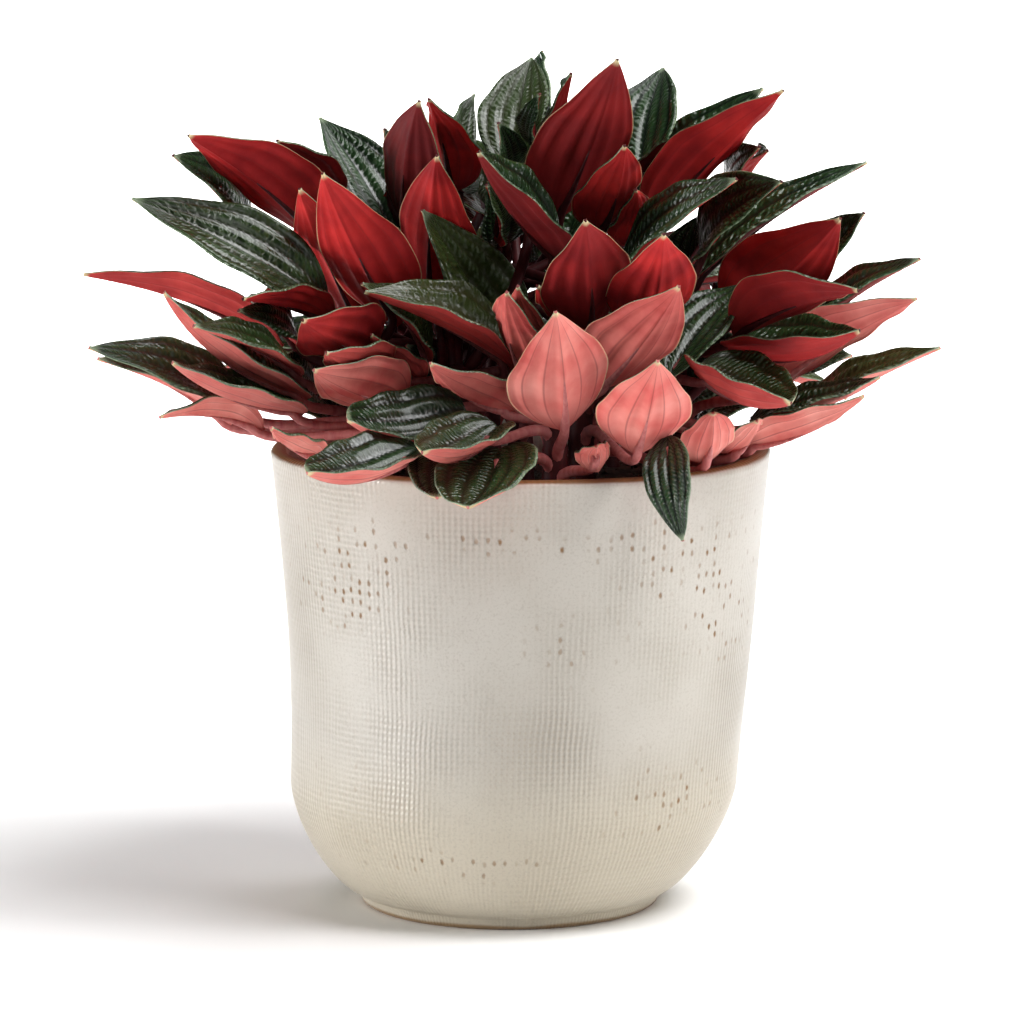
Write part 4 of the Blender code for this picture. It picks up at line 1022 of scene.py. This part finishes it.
def clear_stalk(thicket, blade, index, places, grown):
    """Stalk that touches nothing but its own blade and stem.

    The least bend and the nearest stem are tried first. Where nothing is clear, the stalk may cross the
    other stalks of its own stem, and then its blades too, which it is fused to.
    """
    base = blade.base
    counts = Counter(stalk.stem for stalk in grown.values())

    def distance(stem):
        return math.hypot(places[stem][0] - base[0] * STEM_PULL, places[stem][1] - base[1] * STEM_PULL)

    free = [stem for stem in range(len(places)) if counts[stem] < LEAVES_PER_STEM]
    nearest = sorted(free, key=distance)[:STEMS_TRIED]
    faces = tube_faces(STALK_STEPS + 1, STALK_SIDES)
    for fused in ((), ("stalk",), ("stalk", "blade")):
        for size in BEND_SIZES:
            for stem in nearest:
                x, y = places[stem]
                outward = unit(np.array((base[0] - x, base[1] - y, 0.0)))
                height = FIRST_NODE + NODE_SPACING * counts[stem]
                root = np.array((x, y, height)) + outward * ROOT_OFFSET
                own = {f"blade {index}", f"stem {stem}"}
                mates = [other for other, stalk in grown.items() if stalk.stem == stem]
                own |= {f"{kind} {other}" for kind in fused for other in mates}
                bends = stalk_bends(size)
                lines = stalk_lines(blade, root, bends, STALK_STEPS)
                tubes = tube_corners(lines, STALK_RADIUS + CLEARANCE, STALK_SIDES)
                for number, tube in enumerate(tubes):
                    if not thicket.touched(tube, faces, own):
                        corners = tube_corners(lines[number:number + 1], STALK_RADIUS, STALK_SIDES)[0]
                        return Stalk(stem, root, bends[number], corners)
    return None


def grow_stalks(thicket, blades, places):
    """Stem and stalk for each blade, the lowest first. A blade with no clear way is left out."""
    for number, place in enumerate(places):
        top = stem_top(LEAVES_PER_STEM)
        thicket.add(f"stem {number}", *stem_mesh(place, STEM_BOTTOM, STEM_RADIUS, top, STEM_TOP_RADIUS))
    grown = {}
    for index in sorted(range(len(blades)), key=lambda number: blades[number].base[2]):
        stalk = clear_stalk(thicket, blades[index], index, places, grown)
        if stalk is not None:
            grown[index] = stalk
            thicket.add(f"stalk {index}", stalk.corners, tube_faces(STALK_STEPS + 1, STALK_SIDES))
    return grown


def fill_shade(thicket, blades, places, grown):
    """Shade leaves added to the blades and stalks, each in the first place where its stalk finds a way."""
    for leaf in SHADE_LEAVES:
        index = len(blades)
        open_places = clear_blades(thicket, leaf, index)
        for blade in islice(open_places, 0, SHADE_PLACES * SHADE_STRIDE, SHADE_STRIDE):
            stalk = clear_stalk(thicket, blade, index, places, grown)
            if stalk is not None:
                blades.append(blade)
                grown[index] = stalk
                thicket.add(f"blade {index}", *blade_mesh(blade))
                thicket.add(f"stalk {index}", stalk.corners, tube_faces(STALK_STEPS + 1, STALK_SIDES))
                break


# %% Place everything
def place_leaves():
    """Blades, and each one's stem and stalk, all clear of the pot, the soil and each other."""
    thicket = Thicket()
    for name in ("pot", "soil"):
        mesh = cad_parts[name].data
        corners = np.array([vertex.co for vertex in mesh.vertices]) / MM
        thicket.add(name, corners, [tuple(face.vertices) for face in mesh.polygons])
    blades = place_blades(thicket)
    places = stem_places()
    grown = grow_stalks(thicket, blades, places)
    fill_shade(thicket, blades, places, grown)
    return blades, places, grown


blades, places, grown = place_leaves()
print("blades", len(blades), "with stalks", len(grown))

# %% [markdown]
# ## The living finishes
#
# A peperomia leaf is thick and full of water, with a waxy skin. The wax is smooth, so the top mirrors the
# light along its pleats. Its index of refraction is near 1.45. The colour sits under the skin, and the
# flesh lets a little light through, so the leaf gets a small share of light scattered below the surface.
#
# Each fine blade carries four values for its materials: across, from -1 on one edge to 1 on the other;
# along, from 0 at the base to 1 at the tip; tone, a number drawn for each leaf; and pink, which is high
# on the leaves low down. On the stalks a low pink value gives a near-black colour, which is painted shade.

# %% What the leaf finishes share
PLEATS = 2.7
WRINKLES = 24.0
WRINKLE_SLANT = -4.0
WRINKLE_SCATTER = 2.2
leaf_top, top_shader = new_material(
    "peperomia leaf top", Roughness=0.3, IOR=1.45, Coat_Weight=0.45, Coat_Roughness=0.16)
leaf_back, back_shader = new_material(
    "peperomia leaf back", Roughness=0.66, IOR=1.35, Subsurface_Weight=0.1, Subsurface_Scale=0.002)
flesh, flesh_shader = new_material(
    "peperomia stalk", Roughness=0.55, IOR=1.35, Subsurface_Weight=0.12, Subsurface_Scale=0.002)


def read_values(material, *names):
    """Outputs of the named values that the mesh carries, and then the object's own coordinates."""
    found = [
        add_node(material, "ShaderNodeAttribute", {}, output="Fac", attribute_name=name) for name in names]
    return *found, add_node(material, "ShaderNodeTexCoord", {}, output="Object")


def pleat_values(material, across):
    """How far a place c is from the midrib, and how high on a ridge: |c| and |sin(PLEATS pi c)|."""
    away = add_node(material, "ShaderNodeMath", {0: across}, operation="ABSOLUTE")
    ridge = add_node(material, "ShaderNodeMath", {0: away, 1: PLEATS * math.pi}, operation="MULTIPLY")
    for step in ("SINE", "ABSOLUTE"):
        ridge = add_node(material, "ShaderNodeMath", {0: ridge}, operation=step)
    return away, ridge


# %% [markdown]
# The top is darkest in the channels over the veins, which is painted shade, and brighter on the ridges
# between them, which is a painted sheen, both broken up by patches. Small herringbone wrinkles run from
# the midrib outwards, about 2 mm apart. The rolled edge and the tip have less green in them and look pale.

# %% Green top
across, along, tone, place = read_values(leaf_top, "across", "along", "tone")
away, ridge = pleat_values(leaf_top, across)
patchy = add_node(leaf_top, "ShaderNodeTexNoise", {"Vector": place, "Scale": 90.0, "Detail": 3.0})
# Painted shade in the channels over the veins and a painted sheen on the ridges, broken up by patches
ridge_sheen_channel_shade = add_node(leaf_top, "ShaderNodeMath", {0: ridge, 1: patchy}, operation="MULTIPLY")
inputs = {0: ridge_sheen_channel_shade, 6: linear("#07120A"), 7: linear("#35562D")}
colour = add_node(leaf_top, "ShaderNodeMix", inputs, output=2, data_type="RGBA")
olive = add_node(leaf_top, "ShaderNodeMapRange", {"Value": tone, "From Min": 0.55, "From Max": 1.0})
olive = add_node(leaf_top, "ShaderNodeMath", {0: olive, 1: 0.6}, operation="MULTIPLY")
margin = {"Value": away, "From Min": 0.955, "From Max": 0.99, "To Min": 0.0, "To Max": 0.7}
margin = add_node(leaf_top, "ShaderNodeMapRange", margin, interpolation_type="SMOOTHSTEP")
tip = {"Value": along, "From Min": 0.93, "From Max": 0.99}
tip = add_node(leaf_top, "ShaderNodeMapRange", tip, interpolation_type="SMOOTHSTEP")
pale = add_node(leaf_top, "ShaderNodeMath", {0: margin, 1: tip}, operation="MAXIMUM")
layers = (
    (olive, "#454A20"),
    (pale, "#93A585"),
)
for cover, paint in layers:
    inputs = {0: cover, 6: colour, 7: linear(paint)}
    colour = add_node(leaf_top, "ShaderNodeMix", inputs, output=2, data_type="RGBA")
leaf_top.node_tree.links.new(colour, top_shader.inputs["Base Color"])

slant = add_node(leaf_top, "ShaderNodeMath", {0: away, 1: WRINKLE_SLANT}, operation="MULTIPLY")
wrinkle = {0: along, 1: WRINKLES, 2: slant}
wrinkle = add_node(leaf_top, "ShaderNodeMath", wrinkle, operation="MULTIPLY_ADD")
uneven = add_node(leaf_top, "ShaderNodeTexNoise", {"Vector": place, "Scale": 320.0, "Detail": 2.0})
wrinkle = {0: uneven, 1: WRINKLE_SCATTER, 2: wrinkle}
wrinkle = add_node(leaf_top, "ShaderNodeMath", wrinkle, operation="MULTIPLY_ADD")
wrinkle = add_node(leaf_top, "ShaderNodeMath", {0: wrinkle, 1: math.tau}, operation="MULTIPLY")
wrinkle = add_node(leaf_top, "ShaderNodeMath", {0: wrinkle}, operation="SINE")
wrinkle = add_node(leaf_top, "ShaderNodeMath", {0: wrinkle, 1: ridge}, operation="MULTIPLY")
relief = add_node(leaf_top, "ShaderNodeMath", {0: uneven, 1: 1.5, 2: wrinkle}, operation="MULTIPLY_ADD")
bump = add_node(leaf_top, "ShaderNodeBump", {"Height": relief, "Strength": 0.7, "Distance": 0.0003})
leaf_top.node_tree.links.new(bump, top_shader.inputs["Normal"])

# %% [markdown]
# The back is red, because its cells hold a red pigment that throws light back into the leaf. It is deep
# red on the leaves high in the middle and pink on the low ones near the rim. Leaves with a low tone are
# darkened to maroon as painted shade, and every back darkens towards its base as painted shade from
# the middle of the plant. On the pink leaves the veins show as thin dark lines. The edge is a thin line
# of cream.

# %% Red back
across, along, tone, pink, place = read_values(leaf_back, "across", "along", "tone", "pink")
away, ridge = pleat_values(leaf_back, across)
patchy = add_node(leaf_back, "ShaderNodeTexNoise", {"Vector": place, "Scale": 70.0, "Detail": 4.0})
patchy = add_node(leaf_back, "ShaderNodeMapRange", {"Value": patchy, "From Min": 0.3, "From Max": 0.7})
inputs = {0: patchy, 6: linear("#92141A"), 7: linear("#D2302F")}
colour = add_node(leaf_back, "ShaderNodeMix", inputs, output=2, data_type="RGBA")
# Painted shade: leaves with a low tone are darkened to maroon
shaded = {"Value": tone, "From Min": 0.3, "From Max": 0.05, "To Min": 0.0, "To Max": 0.75}
shaded = add_node(leaf_back, "ShaderNodeMapRange", shaded)
inputs = {0: shaded, 6: colour, 7: linear("#430A0F")}
colour = add_node(leaf_back, "ShaderNodeMix", inputs, output=2, data_type="RGBA")
inputs = {0: patchy, 6: linear("#D4605A"), 7: linear("#EE9C90")}
rosy = add_node(leaf_back, "ShaderNodeMix", inputs, output=2, data_type="RGBA")
inputs = {0: pink, 6: colour, 7: rosy}
colour = add_node(leaf_back, "ShaderNodeMix", inputs, output=2, data_type="RGBA")
vein = {"Value": ridge, "From Min": 0.22, "From Max": 0.05, "To Min": 0.0, "To Max": 0.4}
vein = add_node(leaf_back, "ShaderNodeMapRange", vein, interpolation_type="SMOOTHSTEP")
shown = add_node(leaf_back, "ShaderNodeMapRange", {"Value": pink, "To Min": 0.55, "To Max": 1.0})
vein = add_node(leaf_back, "ShaderNodeMath", {0: vein, 1: shown}, operation="MULTIPLY")
# Painted shade: the back darkens to a brownish red towards the base of the blade
root = {"Value": along, "From Min": 0.3, "From Max": 0.0, "To Min": 0.0, "To Max": 0.5}
root = add_node(leaf_back, "ShaderNodeMapRange", root, interpolation_type="SMOOTHSTEP")
margin = {"Value": away, "From Min": 0.97, "From Max": 0.995, "To Min": 0.0, "To Max": 0.7}
margin = add_node(leaf_back, "ShaderNodeMapRange", margin, interpolation_type="SMOOTHSTEP")
tip = {"Value": along, "From Min": 0.965, "From Max": 0.995}
tip = add_node(leaf_back, "ShaderNodeMapRange", tip, interpolation_type="SMOOTHSTEP")
pale = add_node(leaf_back, "ShaderNodeMath", {0: margin, 1: tip}, operation="MAXIMUM")
layers = (
    (vein, "#6E1A1E"),
    (root, "#6A1A16"),
    (pale, "#CDBD92"),
)
for cover, paint in layers:
    inputs = {0: cover, 6: colour, 7: linear(paint)}
    colour = add_node(leaf_back, "ShaderNodeMix", inputs, output=2, data_type="RGBA")
leaf_back.node_tree.links.new(colour, back_shader.inputs["Base Color"])
back_shader.inputs["Subsurface Radius"].default_value = (1.0, 0.25, 0.2)

grain = add_node(leaf_back, "ShaderNodeTexNoise", {"Vector": place, "Scale": 900.0, "Detail": 3.0})
bump = add_node(leaf_back, "ShaderNodeBump", {"Height": grain, "Strength": 0.3, "Distance": 0.0002})
leaf_back.node_tree.links.new(bump, back_shader.inputs["Normal"])

# %% [markdown]
# Stalks and stems are the same watery flesh, with fine lengthwise streaks. The stalks of the low leaves
# are pink. The stalks higher up and the short stems, deep in the middle of the plant, are dark red to
# almost black, which is painted shade.

# %% Stalks
pink, place = read_values(flesh, "pink")
streaks = add_node(flesh, "ShaderNodeMapping", {"Vector": place, "Scale": (1.0, 1.0, 0.15)})
streaks = add_node(flesh, "ShaderNodeTexNoise", {"Vector": streaks, "Scale": 700.0, "Detail": 3.0})
# Painted shade: near-black dark red for the stalks high up and the stems, deep in the middle of the plant
inputs = {0: streaks, 6: linear("#24080A"), 7: linear("#561519")}
colour = add_node(flesh, "ShaderNodeMix", inputs, output=2, data_type="RGBA")
inputs = {0: streaks, 6: linear("#9E3A3E"), 7: linear("#D8908A")}
rosy = add_node(flesh, "ShaderNodeMix", inputs, output=2, data_type="RGBA")
inputs = {0: pink, 6: colour, 7: rosy}
colour = add_node(flesh, "ShaderNodeMix", inputs, output=2, data_type="RGBA")
flesh.node_tree.links.new(colour, flesh_shader.inputs["Base Color"])
flesh_shader.inputs["Subsurface Radius"].default_value = (1.0, 0.3, 0.25)
bump = add_node(flesh, "ShaderNodeBump", {"Height": streaks, "Strength": 0.4, "Distance": 0.0002})
flesh.node_tree.links.new(bump, flesh_shader.inputs["Normal"])
print("living finishes", leaf_top.name, "and", leaf_back.name, "and", flesh.name)

# %% [markdown]
# ## The fine blade
#
# One blade is a grid: its rows run from the base to the tip, and its columns run across the top from
# edge to edge and back along the underside, so the grid closes round the edges and the blade has real
# thickness. The top starts from the coarse blade. The sharp fold becomes a rounded keel, the single ridge
# becomes pleats between the veins, and the edge rolls down a little.

# %% Fine blade surface
FINE_ROWS = 40
TOP_COLUMNS = 27
KEEL_ROUND = 0.06
PLEAT = 1.1
PLEAT_SHARP = 0.85
EDGE_ROLL = 0.9
EDGE_ROLL_START = 0.84
THIN_EDGE = 0.5
MIDRIB = 0.5
MIDRIB_WIDTH = 0.09
TIP_CURL = 0.015


def fine_top(blade, part, column):
    """Points on the top: the bowed chord, a rounded keel, pleats |sin(PLEATS pi c)|^sharp, a rolled edge."""
    chord = blade.tip - blade.base
    side = unit(np.cross(blade.normal, chord))
    half = blade_half_width(part, blade.width, blade.power)
    size = abs(column)
    fold = blade.fold * half * (np.sqrt(size ** 2 + KEEL_ROUND ** 2) - KEEL_ROUND)
    swell = np.sin(math.pi * part) ** 0.6
    pleat = PLEAT * swell * abs(np.sin(PLEATS * math.pi * size)) ** PLEAT_SHARP * half / (blade.width / 2.0)
    wave = EDGE_WAVE * column * size * np.sin(EDGE_WAVES * math.tau * part + blade.phase) * swell
    roll = -EDGE_ROLL * swell * (np.maximum(size - EDGE_ROLL_START, 0.0) / (1.0 - EDGE_ROLL_START)) ** 2.0
    curl = TIP_CURL * np.linalg.norm(chord) * part ** 6.0
    lift = blade.bow * 4.0 * part * (1.0 - part) + fold + pleat + wave + roll + curl
    across = column * half * FOLDED_SHARE
    return (
        blade.base + part[..., None] * chord + across[..., None] * side + lift[..., None] * blade.normal)


def fine_blade(blade):
    """Grid of a closed blade, rows by columns, and the across and along values of its corners."""
    part = eased(0.0, 1.0, FINE_ROWS) * 0.5 + np.linspace(0.0, 1.0, FINE_ROWS) * 0.5
    spread = np.linspace(-1.0, 1.0, TOP_COLUMNS)
    top_columns = 0.7 * spread + 0.3 * np.sin(spread * math.pi / 2.0)
    back_columns = top_columns[-2:0:-1]
    column = np.concatenate((top_columns, back_columns))
    size = abs(column)
    thickness = LEAF_THICKNESS * (1.0 - THIN_EDGE * size ** 4.0)
    below = np.zeros(len(column))
    below[0] = below[TOP_COLUMNS - 1] = LEAF_THICKNESS * (1.0 - THIN_EDGE) / 2.0
    below[TOP_COLUMNS:] = thickness[TOP_COLUMNS:]
    part, column = np.meshgrid(part, column, indexing="ij")
    rib = np.zeros(part.shape)
    rib[:, TOP_COLUMNS:] = MIDRIB * np.exp(-(column[:, TOP_COLUMNS:] / MIDRIB_WIDTH) ** 2)
    drop = below + rib * (1.0 - part)
    points = fine_top(blade, part, column) - drop[..., None] * blade.normal
    return points, column, part


sample = fine_blade(blades[0])[0]
print("one blade", sample.shape, "first corner", sample[0, 0].round(1))

# %% [markdown]
# ## Stalks and stems
#
# A stalk is a tube along the same curve as its coarse one, with more rings and sides. It is thickest at
# the stem and runs on under the blade as the midrib, so that the two grow into each other. A stem is an
# upright tube with a swelling at each leaf.

# %% Fine stalk and stem
FINE_STALK_STEPS = 16
FINE_STALK_SIDES = 10
STALK_ROOT_RADIUS = 1.75
STALK_END_RADIUS = 1.25
RIB_STEPS = 7
RIB_PART = 0.5
RIB_END_RADIUS = 0.2
FINE_STEM_SIDES = 20
FINE_STEM_RINGS = 28
STEM_SWELL = 0.12


def fine_stalk(blade, line):
    """Rings of a stalk that ends as the midrib, which thins to a point halfway along the blade."""
    start = ROOT_IN_BLADE / np.linalg.norm(blade.tip - blade.base)
    part = np.linspace(start, RIB_PART, RIB_STEPS + 1)[1:]
    rib = blade_surface(blade, part, np.zeros(RIB_STEPS)) - blade.normal * LEAF_THICKNESS
    radius = np.concatenate((
        np.linspace(STALK_ROOT_RADIUS, STALK_END_RADIUS, len(line)),
        np.linspace(STALK_END_RADIUS * 0.8, RIB_END_RADIUS, RIB_STEPS)))
    route = np.vstack((line, rib))
    rings = tube_corners(route[None], radius[:, None, None], FINE_STALK_SIDES)
    return rings.reshape(len(route), FINE_STALK_SIDES, 3)


def fine_stem(place, leaves):
    """Rings of a tapered stem, swollen at each leaf by a wave and rounded over at the top."""
    top = stem_top(leaves)
    height = np.concatenate((np.linspace(STEM_BOTTOM, top - 1.5, FINE_STEM_RINGS), (top - 0.7, top - 0.1)))
    part = (height - STEM_BOTTOM) / (top - STEM_BOTTOM)
    radius = STEM_RADIUS + (STEM_TOP_RADIUS - STEM_RADIUS) * part
    radius *= 1.0 - STEM_SWELL * (0.5 - 0.5 * np.cos(math.tau * (height - FIRST_NODE) / NODE_SPACING))
    radius[-2:] *= (0.8, 0.35)
    angle = math.tau * np.arange(FINE_STEM_SIDES) / FINE_STEM_SIDES
    x = place[0] + radius[:, None] * np.cos(angle)
    y = place[1] + radius[:, None] * np.sin(angle)
    return np.stack((x, y, np.repeat(height[:, None], FINE_STEM_SIDES, axis=1)), axis=-1)


# %% [markdown]
# ## Leafy stems
#
# Everything that one stem carries goes into one mesh, as in the solid model, so each mesh stands for one
# solid. A small class keeps the lists while the pieces are added.

# %% Gather the pieces of a stem
BACK_SLOT, TOP_SLOT, FLESH_SLOT = 0, 1, 2


class Gathered:
    """Corners, quads, caps, material slots and values of many closed grids, to be one mesh."""

    def __init__(self):
        self.corners = []
        self.faces = []
        self.caps = []
        self.slots = []
        self.values = {"across": [], "along": [], "tone": [], "pink": []}
        self.count = 0

    def add(self, points, slots, **values):
        """Add one grid of rows by columns, with an end cap at each end, and its values."""
        rows, columns = points.shape[:2]
        self.corners.append(points.reshape(-1, 3))
        self.faces.append(grid_faces(rows, columns) + self.count)
        ring = np.arange(columns)
        self.caps += [ring[::-1] + self.count, ring + (rows - 1) * columns + self.count]
        self.slots.append(np.broadcast_to(slots, (rows - 1, columns)).ravel())
        for name, kept in self.values.items():
            kept.append(np.broadcast_to(values[name], (rows, columns)).ravel())
        self.count += rows * columns

    def finished(self, name, materials):
        """The mesh object. Caps take the flesh slot."""
        slots = np.concatenate((*self.slots, np.full(len(self.caps), FLESH_SLOT)))
        values = {title: np.concatenate(kept) for title, kept in self.values.items()}
        return mesh_object(
            name, np.vstack(self.corners), np.vstack(self.faces), materials, slots, values, self.caps)


# %% [markdown]
# Old leaves hang low and near the rim, and young ones stand up in the middle. The backs are pink low down
# and deep red high up, and the stalks high up are darkened as painted shade. So the pink value falls with
# height, with a little chance for each leaf.

# %% Build the leafy stems
PINK_BELOW = 140.0
RED_ABOVE = 160.0
PINK_CHANCE = 0.1
STEM_TONE = 0.2
TONE_SEED = 11
blade_slots = np.full(2 * TOP_COLUMNS - 2, BACK_SLOT)
blade_slots[:TOP_COLUMNS - 1] = TOP_SLOT
draw = np.random.default_rng(TONE_SEED)
tones = draw.uniform(0.0, 1.0, len(blades))
pinks = [(RED_ABOVE - blade.base[2]) / (RED_ABOVE - PINK_BELOW) for blade in blades]
pinks = np.clip(np.array(pinks) + draw.normal(0.0, PINK_CHANCE, len(blades)), 0.0, 1.0)
for number, place in enumerate(places):
    gathered = Gathered()
    mine = [index for index in sorted(grown) if grown[index].stem == number]
    stem_rings = fine_stem(place, len(mine))
    gathered.add(stem_rings, FLESH_SLOT, across=0.0, along=0.0, tone=STEM_TONE, pink=0.0)
    for index in mine:
        blade = blades[index]
        points, column, part = fine_blade(blade)
        tone, pink = tones[index], pinks[index]
        gathered.add(points, blade_slots, across=column, along=part, tone=tone, pink=pink)
        line = stalk_lines(blade, grown[index].root, grown[index].bend[None], FINE_STALK_STEPS)[0]
        gathered.add(fine_stalk(blade, line), FLESH_SLOT, across=0.0, along=0.0, tone=tone, pink=pink)
    stem = gathered.finished(f"peperomia_stem_{number + 1:02d}", [leaf_back, leaf_top, flesh])
    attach(stem, "root")
    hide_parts(f"leafy_stem_{number + 1:02d}")
    print(stem.name, "leaves", len(mine), "faces", len(stem.data.polygons))

# %% [markdown]
# ## Floor and light
#
# The picture has a bright, plain ground with one soft shadow to the left of the foot. A big pale floor
# and a lamp of its own behind the pot give the ground. A large soft lamp at the upper right makes the
# shadow and the gloss. Low strips at both sides brighten the edges of the pot and leave its middle
# darker, a weak lamp in front keeps the shaded side open, and one at the back lights the upper rims.

# %% Floor
FLOOR_HALF = 9.0
floor_finish, floor_shader = new_material("pale studio floor", Roughness=0.8)
floor_shader.inputs["Base Color"].default_value = linear("#FAFAFA")
corner = np.array(((-1, -1, 0), (1, -1, 0), (1, 1, 0), (-1, 1, 0))) * FLOOR_HALF / MM
floor = mesh_object("studio_floor", corner, np.array([[0, 1, 2, 3]]), [floor_finish])

# %% Lamps
# Name, place, what it points at, width and length in metres, watts, spread in degrees
LAMPS = (
    ("key", (0.8, -0.5, 1.8), (0.0, 0.0, 0.1), 1.2, 1.2, 46.0, 180.0),
    ("left strip", (-1.3, -0.25, 0.2), (0.0, 0.0, 0.12), 0.25, 0.4, 14.0, 180.0),
    ("right strip", (1.3, -0.4, 0.4), (0.0, 0.0, 0.12), 0.25, 0.4, 7.0, 180.0),
    ("front", (0.1, -1.9, 0.6), (0.0, 0.0, 0.2), 0.5, 0.5, 2.0, 180.0),
    ("rim", (0.7, 0.9, 1.2), (0.0, 0.0, 0.18), 0.6, 0.5, 3.0, 180.0),
    ("ground", (0.0, 2.2, 1.7), (0.0, 2.3, 0.0), 1.6, 3.0, 75.0, 80.0),
)
WORLD_STRENGTH = 0.02


def add_lamp(name, place, aim, width, length, watts, spread):
    """Soft lamp that faces a point."""
    made = bpy.data.lights.new(name, "AREA")
    made.shape = "RECTANGLE"
    made.size = width
    made.size_y = length
    made.energy = watts
    made.spread = math.radians(spread)
    lamp = bpy.data.objects.new(name, made)
    away = unit(np.array(place) - np.array(aim))
    turn = math.atan2(away[1], away[0]) + math.pi / 2.0
    lamp.location = place
    lamp.rotation_euler = (math.acos(away[2]), 0.0, turn)
    bpy.context.scene.collection.objects.link(lamp)


for lamp in LAMPS:
    add_lamp(*lamp)
world = bpy.data.worlds.new("pale studio")
world.use_nodes = True
world.node_tree.nodes["Background"].inputs["Color"].default_value = linear("#FFFFFF")
world.node_tree.nodes["Background"].inputs["Strength"].default_value = WORLD_STRENGTH
bpy.context.scene.world = world
bpy.context.scene.view_settings.view_transform = "Standard"
print("lamps", len(LAMPS))
